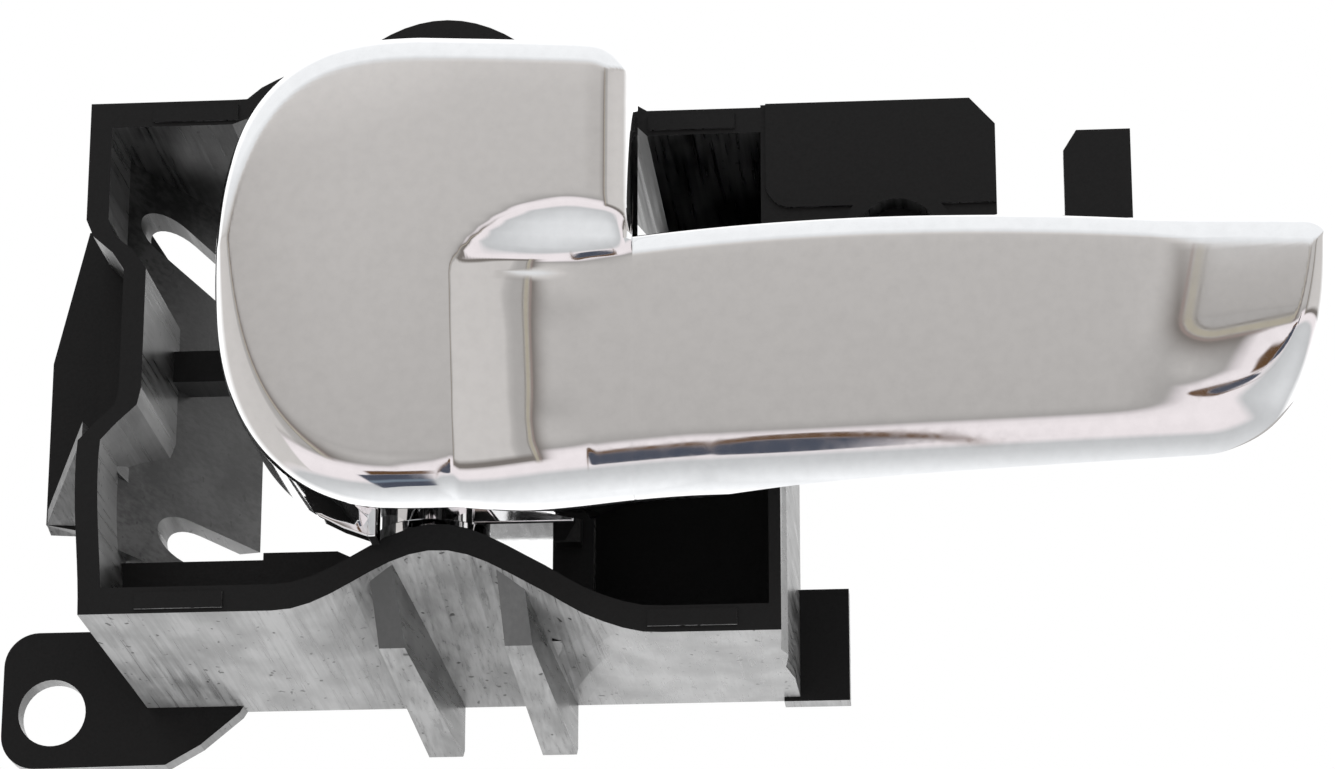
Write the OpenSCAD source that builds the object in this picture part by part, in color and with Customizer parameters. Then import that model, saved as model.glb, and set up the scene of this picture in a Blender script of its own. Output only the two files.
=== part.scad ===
// Interior door release handle for a car: a bright lever on a moulded housing.
// Units are millimetres. X runs along the lever to its tip, Z is up and -Y faces
// the cabin. The origin is the centre of the lower fixing hole, on the plane that
// seats against the door, so the housing stands from Y = 0 forward to Y = -box_d.

/* [Housing] */
// Depth from the seating plane to the front rim
box_d = 46; // [44:1:50]
// Left outer face of the housing, from the fixing hole
box_left = 11.2; // [10:0.2:12]
// Right outer face of the housing, from the fixing hole
box_right = 94.6; // [93:0.2:97]
// Top of the front rim at its left corner
rim_top = 65; // [64.5:0.5:67]
// How much lower the rim is on the right of the pivot
rim_step = 3.1; // [2.5:0.1:3.6]
// Underside of the housing at its left corner
floor_z = 0.6; // [0.2:0.1:1]
// How much lower the underside is on the right
floor_drop = 3.6; // [3:0.1:4.2]
// Thickness of the upper and lower walls
wall_t = 3.2; // [2.8:0.1:3.4]
// Thickness of the left wall and of the slanted wall behind it
side_t = 2.7; // [2.2:0.1:3]
// Thickness of the right wall
right_t = 1.4; // [1.2:0.1:2]
// Depth of the straight left wall, before it slants inward
straight_d = 12; // [10:1:13]
// How far the middle of the left wall steps inward
notch_in = 4.8; // [4.4:0.1:5]
// Height that the lower wall arches up under the pivot
arch_rise = 6.9; // [6.4:0.1:7.2]

/* [Fixing ear and foot] */
// Diameter of the lower fixing hole
ear_hole_d = 8.6; // [7:0.1:9]
// Thickness of the fixing ear, the foot and the rear wall
plate_t = 3; // [2.5:0.1:3.5]
// Corner radius of the fixing ear
ear_r = 4.4; // [3.8:0.2:5]

/* [Screw plate] */
// Right edge of the screw plate
plate_right = 120.6; // [119:0.2:122]
// Lower edge of the screw plate, hidden by the lever
plate_bottom = 36; // [35:0.5:37]
// Height of the screw centre above the fixing hole
screw_z = 44.7; // [44.4:0.1:45]
// Distance of the screw centre from the fixing hole
screw_x = 108.8; // [108:0.2:110]
// Diameter of the screw hole
screw_d = 4.6; // [4:0.1:5]
// Diameter of the sunk seat around the screw
screw_seat_d = 9.8; // [9:0.2:10.4]
// Outer diameter of the screw boss
screw_boss_d = 13.4; // [13:0.2:14]
// Tip of the far locating tab
tab_right = 136.6; // [135:0.2:138]
// Height of the far locating tab
tab_top = 57.8; // [56:0.2:59]

/* [Lever] */
// Pivot axis, along the lever from the fixing hole
pivot_x = 52.5; // [52:0.1:53]
// Pivot axis, behind the front rim
pivot_set = 12; // [11.5:0.1:12.5]
// Front of the lever's pad, ahead of the rim
pad_proud = 17.4; // [16.4:0.2:18.4]
// Gap between the lever's back edge and the rim
lip_gap = 2; // [1.5:0.1:2.5]
// Pad's left edge, from the pivot axis
pad_l_reach = 22.6; // [22:0.1:23]
// Pad's right edge, from the pivot axis
pad_r_reach = 25.9; // [25:0.1:27]
// Length of the blade beyond the pad
blade_l = 79.7; // [76:0.5:84]
// Bottom of the pad
pad_bottom = 8.5; // [8.3:0.1:8.8]
// How far the pad stands above the top of the rim
pad_over = 1.4; // [1:0.1:1.6]
// Height of the blade at its root
blade_h = 33; // [32:0.2:34]
// Thickness of the lever's moulded shell
shell_t = 2.4; // [2:0.1:3]
// Depth of the scoop in the face of the blade
scoop_d = 3.2; // [2.4:0.1:3.6]
// Outer diameter of the lever's pivot barrels
barrel_d = 13.4; // [13:0.2:14.4]

/* [Pivot pin and spring] */
// Diameter of the pivot pin
pin_d = 5; // [4:0.1:5.6]
// Radial running clearance of the lever on its pin
pin_clear = 0.05; // [0.03:0.01:0.1]
// Wire diameter of the return spring
wire_d = 1.3; // [1:0.1:1.5]
// Mean radius of the return spring's coil
coil_r = 4.8; // [4.6:0.1:5.2]
// Number of turns in the return spring
coil_turns = 5; // [4:1:6]

/* [Hidden] */
$fn = 48;

// Places that follow from the sizes above
rim_y = -box_d;
pivot_y = rim_y + pivot_set;
pad_y = rim_y - pad_proud;
lip_y = rim_y - lip_gap;
seat_clear = 0.3;
slip_clear = 0.4;
press_clear = 0.01;
inner_right = box_right - right_t;
arch_x = pivot_x + 1.8;
rim_top_r = rim_top - rim_step;

// Barrels: the lower one stands just clear of the arch, the upper one just
// below the boss of the upper wall
arch_top_z = floor_z + arch_rise + wall_t;
boss_low_top = arch_top_z + 0.2;
barrel_z0 = boss_low_top + slip_clear;
barrel_h = 8.6;
top_boss_drop = 3.1;
top_boss_z = rim_top - top_boss_drop;
top_barrel_z1 = top_boss_z - slip_clear;
top_barrel_h = 11.5;
barrel_r = barrel_d / 2;

// Pad and blade outline
pad_l = pivot_x - pad_l_reach;
pad_r = pivot_x + pad_r_reach;
tip_x = pad_r + blade_l;
pad_top = rim_top + pad_over;
pad_mid_h = 28.5;
pad_mid_z = pad_bottom + pad_mid_h;
pad_round_l = 23.4;
pad_mid_x = pad_l + pad_round_l;
blade_root_z = pad_bottom + blade_h;
blade_peak_l = 29.6;
blade_peak_x = pad_r + blade_peak_l;
blade_crown = 1.5;
blade_peak_z = blade_root_z + blade_crown;
sag_in = blade_crown / pow(blade_peak_x - pad_r, 2);
sag_out = 0.0015;
tip_mid_z = pad_mid_z;
tip_run = 15.1;
tip_top_run = 3.6;
pad_corner_r = 5;
top_power = 2.7;
low_power = 2.4;
top_slope = 0.05;
low_rise = 1.9;
low_rise_x = pad_mid_x + 1.7;
low_rise_l = 33;
low_slope = 0.025;
low_slope_x = pad_r + 9.6;
split_h = 29.8;
split_z = pad_bottom + split_h;
split_x = pad_mid_x + 3.7;
split_share_l = 0.515;
split_share_r = 0.9;

// Face of the lever: crown, scoop, shoulder under the upper part of the pad, rolled edges
crown = 0.0012;
lean = 0.018;
scoop_x = pad_mid_x + 4.2;
scoop_run = 8.2;
scoop_low_h = 2.8;
scoop_low_run = 4.8;
scoop_end_x = tip_x - 18.6;
scoop_end_run = 13;
scoop_end_slant = 0.3;
shoulder_h = 28.8;
shoulder_rise = 3.9;
shoulder_x = pad_mid_x + 4;
shoulder_run = 30;
shoulder_w_min = 1.2;
shoulder_w_gain = 3.4;
shoulder_w_run = 10;
shoulder_narrow = 0.7;
shoulder_narrow_x = pad_mid_x + 17;
shoulder_narrow_run = 9;
side_roll = 3.2;
top_roll_pad = 3;
top_roll_blade = 1.8;
low_roll = 3.2;
low_roll_gain = 2.4;
low_roll_run = 30;
low_roll_depth = 3.4;
side_bevel = 0.5;
side_bevel_x = pad_mid_x + 17.5;
side_bevel_run = 7;
side_bevel_h = 3;

// Back edges of the lever
low_back_in = 9;
low_back_x = pad_r - 6;
low_back_run = 9;
top_back_in = 8.6;
top_back_x = pad_r - 8;
top_back_run = 16;
collar_lift = 3.6;
collar_lift_x = pivot_x - 7;
collar_lift_run = 3;
collar_drop_x = pivot_x + 8.5;
collar_drop_run = 13;
tip_lift = 0.5;
tip_lift_x = tip_x - 8;
tip_lift_run = 7;
blade_fill = 1.8;
blade_fill_run = 12;
blade_fill_x = tip_x - 9;
hollow_run_l = 1.5;
hollow_run_r = 4;
inner_step = 0.6;

// Smooth step from 0 to 1
function sm(t) = let (c = min(1, max(0, t))) c * c * (3 - 2 * c);
// Superellipse: height at a share u of the half width
function super(u, n) = pow(max(0, 1 - pow(min(1, max(0, u)), n)), 1 / n);
function blade_top(x) =
    blade_peak_z - (x < blade_peak_x ? sag_in : sag_out) * pow(x - blade_peak_x, 2);
function pad_top_line(x) = pad_top - top_slope * max(0, x - pad_mid_x);
function z_top(x) =
    x < pad_mid_x ? pad_mid_z
        + (pad_top - pad_mid_z) * super((pad_mid_x - x) / (pad_mid_x - pad_l), top_power)
    : x < pad_r - pad_corner_r ? pad_top_line(x)
    : x <= pad_r ? pad_top_line(pad_r - pad_corner_r) - pad_corner_r
        + sqrt(max(0, pow(pad_corner_r, 2) - pow(x - pad_r + pad_corner_r, 2)))
    : x < tip_x - tip_top_run ? blade_top(x)
    : tip_mid_z + (blade_top(tip_x - tip_top_run) - tip_mid_z)
        * super((x - tip_x + tip_top_run) / tip_top_run, 2);
function low_line(x) =
    pad_bottom + low_rise * sm((x - low_rise_x) / low_rise_l) + low_slope * max(0, x - low_slope_x);
function z_bot(x) =
    x < pad_mid_x ? pad_mid_z
        - (pad_mid_z - pad_bottom) * super((pad_mid_x - x) / (pad_mid_x - pad_l), low_power)
    : x < tip_x - tip_run ? low_line(x)
    : tip_mid_z - (tip_mid_z - low_line(tip_x - tip_run))
        * super((x - tip_x + tip_run) / tip_run, 2);
// Line that divides the blade from the upper part of the pad
function z_split(x) =
    x < split_x ? z_bot(x) + split_share_l * (z_top(x) - z_bot(x))
    : x <= pad_r ? split_z
    : z_bot(x) + split_share_r * (z_top(x) - z_bot(x));

// Front surface. It starts as a gently crowned sheet, sinks into the scoop of
// the blade and rolls back at every edge.
function sheet_y(x, z) = pad_y
    + crown * pow(min(x, pad_r) - pad_mid_x, 2) + crown * pow(z - pad_mid_z, 2)
    - lean * max(0, x - pad_r);
function shoulder_lo(x) = pad_bottom + shoulder_h
    + shoulder_rise * sm((x - shoulder_x) / shoulder_run);
function shoulder_w(x) = shoulder_w_min + shoulder_w_gain * sm((x - shoulder_x) / shoulder_w_run)
    * (1 - shoulder_narrow * sm((x - shoulder_narrow_x) / shoulder_narrow_run));
function scoop_share(x, z) =
    sm((x - scoop_x) / scoop_run)
    * (x > pad_r ? 1 : 1 - sm((z - shoulder_lo(x)) / shoulder_w(x)))
    * sm((z - z_bot(x) - scoop_low_h) / scoop_low_run)
    * (1 - sm((x - scoop_end_x - scoop_end_slant * (z - tip_mid_z)) / scoop_end_run));
// Roll of an edge: how far the surface has fallen back at a distance d
function roll(d, width, depth) =
    d >= width ? 0 : depth * (1 - sqrt(max(0, 1 - pow(1 - max(0, d) / width, 2))));
// Height distance to an edge line, turned to a true distance by its slope
function slope_cos(f_here, f_next, step) = step / sqrt(step * step + pow(f_next - f_here, 2));
function front_y(x, z) =
    let (s = 0.2,
         cx = min(x, tip_x - s),
         ct = slope_cos(z_top(cx), x < pad_r ? z_top(min(cx + s, pad_r)) : z_top(cx + s), s),
         cb = slope_cos(z_bot(cx), z_bot(cx + s), s),
         d_top = (z_top(x) - z) * ct,
         d_bot = (z - z_bot(x)) * cb,
         d_side = x > pad_r ? side_roll
             : z > blade_root_z ? pad_r - x
             : norm([pad_r - x, blade_root_z - z]) + (blade_root_z - z),
         low_w = low_roll + low_roll_gain * (1 - sm((x - pad_mid_x) / low_roll_run)),
         top_w = x > pad_r ? top_roll_blade : top_roll_pad)
    sheet_y(x, z) + scoop_d * scoop_share(x, z)
    + max(roll(d_top, top_w, top_w), roll(d_bot, low_w, low_roll_depth),
        roll(d_side, side_roll, side_roll))
    + side_bevel * sm((x - side_bevel_x) / side_bevel_run)
        * (x > pad_r ? 0 : sm((z - blade_root_z) / side_bevel_h));
// Back edge: deep at the pad, running out to the thin blade. The lower edge comes
// forward early, the upper one at the pad's right side.
function low_back_y(x) = lip_y - low_back_in * (1 - exp(-max(0, x - low_back_x) / low_back_run))
    - lean * max(0, x - pad_r);
function top_back_y(x) = lip_y - top_back_in * sm((x - top_back_x) / top_back_run)
    - lean * max(0, x - pad_r);
// How much higher the lower back edge is than the front edge: it clears the barrel
function back_lift(x) = let (past = sm((x - collar_drop_x) / collar_drop_run))
    collar_lift * (sm((x - collar_lift_x) / collar_lift_run) - past)
    + tip_lift * past * (1 - sm((x - tip_lift_x) / tip_lift_run));
// Back of the shell: hollow behind the pad, full behind the blade
function hollow(x) = sm((x - pad_l - shell_t) / hollow_run_l)
    * (1 - sm((x - pad_r + hollow_run_r) / hollow_run_r));
function rear_y(x, z) =
    let (k = (z - z_bot(x)) / max(1, z_top(x) - z_bot(x)),
         y = low_back_y(x) + (top_back_y(x) - low_back_y(x)) * k)
    y + (1 - hollow(x)) * blade_fill * sm((x - top_back_x) / blade_fill_run)
        * (1 - sm((x - blade_fill_x) / tip_lift_run))
    - hollow(x) * (y - front_y(x, z) - shell_t);

// One closed section of the lever at station x, from the lower back lip round
// the front and back along the inside
low_steps = [0, 0.012, 0.035, 0.07, 0.115, 0.165, 0.22, 0.3, 0.42, 0.56, 0.7, 0.82, 0.92, 1];
top_steps = [0.14, 0.32, 0.5, 0.68, 0.8, 0.89, 0.95, 0.985, 1];
rear_steps = [0, 0.05, 0.3, 0.5, 0.7, 0.95, 1];
function inner_top(x) =
    let (z1 = x < pad_r - shell_t - inner_step ? z_top(x) : min(z_top(x), blade_top(pad_r)),
         room = (z_top(x) - z_bot(x)) / 3) z1 - min(shell_t, room);
function inner_bot(x) =
    let (room = (z_top(x) - z_bot(x)) / 3) z_bot(x) + back_lift(x) + min(shell_t, room);
function section(x) = let (b = z_bot(x), s = z_split(x), t = z_top(x),
                           i0 = inner_bot(x), i1 = inner_top(x))
    concat(
        [[x, low_back_y(x), b + back_lift(x)]],
        [for (k = low_steps) let (z = b + (s - b) * k) [x, front_y(x, z), z]],
        [for (k = top_steps) let (z = s + (t - s) * k) [x, front_y(x, z), z]],
        [[x, top_back_y(x), t]],
        [for (k = rear_steps) let (z = i1 + (i0 - i1) * k)
            [x, k == 0 ? top_back_y(x) : k == 1 ? low_back_y(x) : rear_y(x, z), z]]
    );
// Stations: close together at the rounded ends and at the pad's right edge
stations = concat(
    [for (a = [10:9:91]) pad_l + (pad_mid_x - pad_l) * (1 - cos(min(a, 90)))],
    [for (k = [1:9]) pad_mid_x + (pad_r - pad_corner_r - pad_mid_x) * k / 9],
    [for (a = [24, 44, 60, 72, 81, 87]) pad_r - pad_corner_r + pad_corner_r * sin(a)],
    [pad_r + 0.08],
    [for (k = [1:5]) pad_r + k * 2.4],
    [for (k = [1:8]) pad_r + 12 + (blade_l - 12 - tip_run - 4) * k / 8],
    [for (a = [0:9:81]) tip_x - (tip_run + 3) * (1 - sin(a))]
);

// Shell lofted through all the sections, each end closed by a very flat cone
function end_point(ring, x) =
    let (p = (ring[len(low_steps)] + ring[len(ring) - 4]) / 2) [x, p[1], p[2]];
module lever_shell() {
    rings = [for (x = stations) section(x)];
    n = len(rings[0]);
    m = len(rings);
    apexes = [end_point(rings[0], pad_l + 0.05), end_point(rings[m - 1], tip_x - 0.05)];
    sides = [for (i = [0:m - 2]) for (j = [0:n - 1])
        let (a = i * n + j, b = i * n + (j + 1) % n)
            each [[a, b, a + n], [b, b + n, a + n]]];
    polyhedron(concat([for (r = rings) each r], apexes), concat(sides,
        [for (k = [0:n - 1]) [(k + 1) % n, k, m * n]],
        [for (k = [0:n - 1]) [(m - 1) * n + k, (m - 1) * n + (k + 1) % n, m * n + 1]]));
}

// Web that ties a barrel to the inside of the pad's face
web_l = 12;
web_r = 9.5;
web_sink = 1.2;
module barrel_web(z0, h) {
    translate([0, 0, z0]) linear_extrude(h) polygon([
        [pivot_x - web_l, pad_y + shell_t + web_sink], [pivot_x + web_r, pad_y + shell_t + web_sink],
        [pivot_x + barrel_r, pivot_y], [pivot_x - barrel_r, pivot_y]]);
}

collar_step_z = 1.7;
collar_step = 0.25;
low_web_z = 3.6;
low_web_h = 4.6;
top_web_h = 6;
lug_reach = 17.2;
lug_x0 = pivot_x + 3;
lug_x1 = pivot_x + lug_reach;
lug_z0 = barrel_z0 + collar_step_z;
lug_half = 4;
lug_front = pivot_y - lug_half;
lug_back = pivot_y + lug_half;
lug_h = 2.8;
lug_end_h = 0.8;
lug_knee_l = 4.9;
lug_knee_h = 2.2;
lug_side = 1.2;
lug_taper = 1.8;
skirt_x1 = pivot_x - 4.6;
skirt_z0 = barrel_z0 - 3.4;
skirt_t = 2.4;
skirt_sink = 1;
upright_w = 1;
upright_d = 4;
arm_reach = 17;
arm_t = 3;
arm_r = 3.4;
arm_z0 = top_barrel_z1 - top_barrel_h;
eye_d = 3.4;

module lever() color([0.86, 0.86, 0.87]) difference() {
    union() {
        lever_shell();
        // Lower barrel with the fine step that shows as a line round the collar
        translate([pivot_x, pivot_y, barrel_z0]) cylinder(r = barrel_r, h = collar_step_z);
        translate([pivot_x, pivot_y, barrel_z0]) cylinder(r = barrel_r - collar_step, h = barrel_h);
        barrel_web(barrel_z0 + low_web_z, low_web_h);
        // Upper barrel
        translate([pivot_x, pivot_y, arm_z0]) cylinder(r = barrel_r, h = top_barrel_h);
        barrel_web(top_barrel_z1 - top_web_h, top_web_h);
        // Stop lug beside the lower barrel: a wedge that narrows to the back
        intersection() {
            translate([0, lug_back, 0]) rotate([90, 0, 0]) linear_extrude(lug_back - lug_front)
                polygon([[lug_x0, lug_z0], [lug_x1, lug_z0], [lug_x1, lug_z0 + lug_end_h],
                    [lug_x1 - lug_knee_l, lug_z0 + lug_knee_h], [lug_x0, lug_z0 + lug_h]]);
            linear_extrude(rim_top) polygon([[pivot_x, lug_front], [lug_x1, lug_front],
                [lug_x1, lug_front + lug_side], [lug_x1 - lug_taper, lug_back],
                [pivot_x, lug_back]]);
        }
        // Skirt that hangs from the lower left of the shell down to the arch, and
        // the thicker upright at its end
        translate([0, lip_y + skirt_sink, 0]) rotate([90, 0, 0]) linear_extrude(skirt_t) polygon([
            [pivot_x - 15.6, barrel_z0 + 5], [pivot_x - 11.5, barrel_z0 - 0.4],
            [pivot_x - 8.6, skirt_z0 + 1.5], [skirt_x1, skirt_z0], [skirt_x1, barrel_z0 + 1.4],
            [pivot_x - 9.5, barrel_z0 + 2.4], [pivot_x - 13, barrel_z0 + 7]]);
        translate([skirt_x1 - upright_w, lip_y + skirt_sink - upright_d, skirt_z0])
            cube([upright_w, upright_d, barrel_z0 - skirt_z0 + collar_step_z - 0.1]);
        // Arm that pulls the release cable, with its eye
        translate([pivot_x - arm_r, pivot_y, arm_z0]) cube([2 * arm_r, arm_reach, arm_t]);
        translate([pivot_x, pivot_y + arm_reach, arm_z0]) cylinder(r = arm_r, h = arm_t);
    }
    translate([pivot_x, pivot_y, 0]) cylinder(r = pin_d / 2 + pin_clear, h = 2 * rim_top);
    translate([pivot_x, pivot_y + arm_reach, 0]) cylinder(r = eye_d / 2, h = rim_top);
}

// Housing: lines of the rim in the front view
floor_drop_x = pivot_x + 13.5;
floor_drop_run = 14;
arch_half = 19;
roof_step_x = pivot_x + 19;
roof_step_run = 6;
function floor_line(x) = floor_z
    - floor_drop * sm((x - floor_drop_x) / floor_drop_run)
    + arch_rise * (abs(x - arch_x) < arch_half ? pow(cos(90 * (x - arch_x) / arch_half), 2) : 0);
function roof_base(x) = rim_top - rim_step * sm((x - roof_step_x) / roof_step_run);
roof_bump = 6.8;
roof_power = 0.7;
roof_half = 24;
dome_rise = 9.6;
dome_r = 12.9;
function roof_line(x) = let (u = x - arch_x, w = abs(u) < roof_half ? cos(90 * u / roof_half) : 0)
    max(roof_base(x) + roof_bump * pow(w, roof_power), rim_top + dome_rise - u * u / (2 * dome_r));
roof_t_mid = 2.6;
function roof_t(x) = wall_t - (wall_t - roof_t_mid) * (abs(x - arch_x) < roof_half ? 1 : 0);
notch_z0 = 21.5;
notch_z1 = 43.5;
notch_run = 6;
left_lean = 1;
left_lean_h = 18;
function notch(z) = notch_in * (sm((z - notch_z0) / notch_run) - sm((z - notch_z1) / notch_run));
function left_line(z) = box_left + notch(z) + left_lean * (1 - sm(z / left_lean_h));

slant_x1 = 26.5;
slant_y1 = -6;
slant_y0 = rim_y + straight_d;
slant_top = rim_top - wall_t;
slant_z0 = 12;
divider_x = floor_drop_x;
divider_front = pivot_y + 7;
divider_t = 2;
divider_lip = 5;
bumper_t = 2.7;
bumper_h = 4;
bumper_inset = 0.1;
bar_z0 = 35.5;
bar_h = 4;
bar_d = 6;
bar_left = 16;
bar_front = divider_front;
bar_right = pivot_x - 9;
cable_y = pivot_y + arm_reach;
back_floor = 0.4;
join = 0.6;

// Lower wall: ruled from the arched front edge to the straight back edge
module lower_wall() {
    n = 36;
    rows = 6;
    k = n + 1;
    top = k * (rows + 1);
    x0 = left_line(0);
    xs = [for (i = [0:n]) x0 + (box_right - x0) * i / n];
    function low_z(x, j) = floor_line(x) + (back_floor - floor_line(x)) * j / rows;
    pts = [for (t = [0, wall_t]) for (j = [0:rows]) for (x = xs)
        [x, rim_y * (1 - j / rows), low_z(x, j) + t]];
    skins = [for (j = [0:rows - 1]) for (i = [0:n - 1])
        let (a = j * k + i, b = a + 1, c = a + k, d = c + 1)
        each [[b, c, a], [d, c, b], [top + c, top + b, top + a], [top + c, top + d, top + b]]];
    edges = [for (i = [0:n - 1]) let (b = rows * k + i) each [
        [i + top, i + top + 1, i + 1], [i + top, i + 1, i],
        [b, b + 1, b + top + 1], [b, b + top + 1, b + top]]];
    ends = [for (j = [0:rows - 1]) let (a = j * k, b = a + n) each [
        [a + k, a + k + top, a + top], [a + k, a + top, a],
        [b + top, b + k + top, b + k], [b + top, b + k, b]]];
    polyhedron(pts, concat(skins, edges, ends));
}

// Left wall: a band that steps inward, drawn back until it meets the slanted wall
module left_wall() {
    zs = [for (i = [0:30]) floor_line(box_left) + (rim_top - floor_line(box_left)) * i / 30];
    intersection() {
        rotate([90, 0, 0]) linear_extrude(box_d) polygon(concat(
            [for (z = zs) [left_line(z), z]],
            [for (i = [30:-1:0]) [left_line(zs[i]) + side_t, zs[i]]]));
        linear_extrude(rim_top + 5) polygon([
            [box_left - 1, rim_y], [slant_x1, rim_y], [slant_x1, slant_y1],
            [slant_x1 - 1.2, slant_y1], [box_left + 0.6, slant_y0], [box_left - 1, slant_y0]]);
    }
}

// Slanted wall behind the left wall, with its two windows
high_window = [17.7, 54.7];
high_window_r = 2.7;
high_window_l = 8;
high_window_turn = -26;
low_window = [20.2, 16.8];
low_window_r = 2.8;
module slot(start, r, l) translate(start) union() {
    circle(r = r);
    translate([0, -r]) square([l, 2 * r]);
}
module slanted_wall() difference() {
    translate([0, 0, slant_z0]) linear_extrude(slant_top - slant_z0 + join) polygon([
        [box_left, slant_y0 - join], [box_left + side_t, slant_y0 - join],
        [slant_x1, slant_y1], [slant_x1 - side_t, slant_y1 + join]]);
    translate([0, 1, 0]) rotate([90, 0, 0]) linear_extrude(-slant_y0 + 2) union() {
        translate(high_window) rotate(high_window_turn) slot([0, 0], high_window_r, high_window_l);
        slot(low_window, low_window_r, slant_x1 + 1 - low_window[0]);
    }
}

// Upper wall with the raised dome over the pivot
module upper_wall() intersection() {
    rotate([90, 0, 0]) linear_extrude(box_d) polygon(concat(
        [for (i = [0:48]) let (x = box_left + (box_right - box_left) * i / 48) [x, roof_line(x)]],
        [for (i = [48:-1:0]) let (x = box_left + (box_right - box_left) * i / 48)
            [x, roof_line(x) - roof_t(x)]]));
    linear_extrude(2 * rim_top) polygon([
        [box_left, rim_y], [box_right, rim_y], [box_right, -2],
        [slant_x1, -2], [slant_x1 - side_t, slant_y1], [box_left, slant_y0]]);
}

// Stiffening rib under the lower wall: its front slopes back from the rim
left_rib_front = 46.2;
left_rib_back = 47.9;
left_rib_w = 2.8;
right_rib_front = 61.3;
right_rib_back = 62.2;
right_rib_w = 3;
rib_back_w = 4.3;
rib_slope_d = 9;
rib_slope_z = -1.8;
rib_low_z = -6.2;
rib_chamfer = 1;
module belly_rib(x_front, w_front, x_back, w_back) {
    z_front = floor_line(x_front + w_front / 2) + wall_t / 2;
    side = [[rim_y, z_front], [rim_y + rib_slope_d, rib_slope_z], [-rib_chamfer, rib_low_z],
        [0, rib_low_z + rib_chamfer], [0, back_floor + wall_t / 2]];
    n = len(side);
    function x_at(y) = x_back + (x_front - x_back) * y / rim_y;
    function w_at(y) = w_back + (w_front - w_back) * y / rim_y;
    polyhedron(
        concat([for (p = side) [x_at(p[0]), p[0], p[1]]],
               [for (p = side) [x_at(p[0]) + w_at(p[0]), p[0], p[1]]]),
        concat([[for (i = [0:n - 1]) i]], [[for (i = [n - 1:-1:0]) i + n]],
            [for (i = [0:n - 1]) let (j = (i + 1) % n) each [[i + n, j, i], [i + n, j + n, j]]]));
}

// Fixing ear at the lower left, flush with the seating plane
ear_left = -6.4;
ear_low = -7.2;
ear_top = 10.5;
module fixing_ear() {
    rotate([90, 0, 0]) linear_extrude(plate_t) union() {
        for (z = [ear_top - ear_r, ear_low + ear_r])
            translate([ear_left + ear_r, z]) circle(r = ear_r);
        polygon([[ear_left + ear_r, ear_top], [18, ear_top], [26, 3], [24, -0.4], [19.1, -4.5],
            [14.7, -7], [ear_left + ear_r, ear_low], [ear_left, ear_low + ear_r],
            [ear_left, ear_top - ear_r]]);
    }
}

// Flared wing behind the stepped left wall, with the gusset below it
wing_y = -19.5;
wing_t = 2.5;
wing_left = 2.5;
wing_top = 57.4;
gusset_t = 1.8;
module side_wing() {
    translate([0, wing_y, 0]) rotate([90, 0, 0]) linear_extrude(wing_t) polygon([
        [6.4, wing_top], [wing_left, 40], [wing_left, 19], [12, 17], [18.8, 21], [18.8, 50],
        [14, wing_top]]);
    top = [[box_left + 0.4, rim_y + 1, 22.9], [wing_left + 0.1, wing_y - wing_t, 19],
        [wing_left + 0.1, wing_y, 18.4], [box_left + 4, wing_y, 17.6],
        [box_left + 4, slant_y0 + 3, 20.6]];
    n = len(top);
    polyhedron(concat(top, [for (p = top) [p[0], p[1], p[2] + gusset_t]]),
        concat([[for (i = [n - 1:-1:0]) i]], [[for (i = [0:n - 1]) i + n]],
            [for (i = [0:n - 1]) let (j = (i + 1) % n) each [[j, i + n, i], [j + n, i + n, j]]]));
}

// Screw plate to the right of the box, its flanges and the far locating tab
plate_wall = 3;
plate_corner_w = 3;
plate_corner_h = 3.4;
field_proud = 0.4;
field_low = 48.9;
field_r = 3;
flange_t = 2;
flange_d = 9;
tab_flange_d = 6;
tab_w = 8;
tab_root = 1;
tab_root_h = 10;
boss_d = 9;
module screw_plate() {
    plate_top = rim_top_r + 0.3;
    tab_l = tab_right - tab_w;
    corner = [[plate_right - plate_corner_w, plate_top], [plate_right, plate_top - plate_corner_h]];
    translate([0, rim_y + plate_wall, 0]) rotate([90, 0, 0]) linear_extrude(plate_wall) union() {
        polygon(concat([[inner_right - join, plate_top]], corner,
            [[plate_right, plate_bottom], [inner_right - join, plate_bottom]]));
        polygon([[plate_right - tab_root, plate_bottom], [tab_right, plate_bottom],
            [tab_right, tab_top], [tab_l + 1.6, tab_top], [tab_l, tab_top - 2.6],
            [tab_l, plate_bottom + tab_root_h], [plate_right - tab_root, plate_bottom + tab_root_h]]);
    }
    // Slightly raised field of the plate, with its rounded inner corner
    translate([0, rim_y, 0]) rotate([90, 0, 0]) linear_extrude(field_proud) union() {
        translate([inner_right + field_r, field_low + field_r]) circle(r = field_r);
        polygon(concat([[inner_right, plate_top]], corner, [[plate_right, field_low],
            [inner_right + field_r, field_low], [inner_right, field_low + field_r]]));
    }
    // Flanges that stiffen the plate from behind
    for (z = [plate_bottom, plate_top - flange_t])
        translate([inner_right, rim_y + flange_t, z])
            cube([plate_right - plate_corner_w - inner_right, flange_d, flange_t]);
    translate([plate_right - flange_t, rim_y + flange_t, plate_bottom])
        cube([flange_t, flange_d, plate_top - plate_bottom - plate_corner_h]);
    translate([plate_right - flange_t, rim_y + flange_t, plate_bottom])
        cube([tab_right - plate_right + flange_t, tab_flange_d, flange_t]);
    // Boss for the fixing screw
    translate([screw_x, rim_y + boss_d, screw_z]) rotate([90, 0, 0])
        cylinder(d = screw_boss_d, h = boss_d + field_proud);
}

// Raised seats on the rim where the trim bezel rests
seat_proud = 0.3;
seat_w = 10.4;
seat_left = box_left + 7.7;
seat_right = box_right - 15.5;
seat_h = 2;
module rim_seat(x, z) translate([x, rim_y - seat_proud, z]) cube([seat_w, 1, seat_h]);

foot_low = -0.4;
foot_w = 8.2;
foot_h = 14.4;

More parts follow.
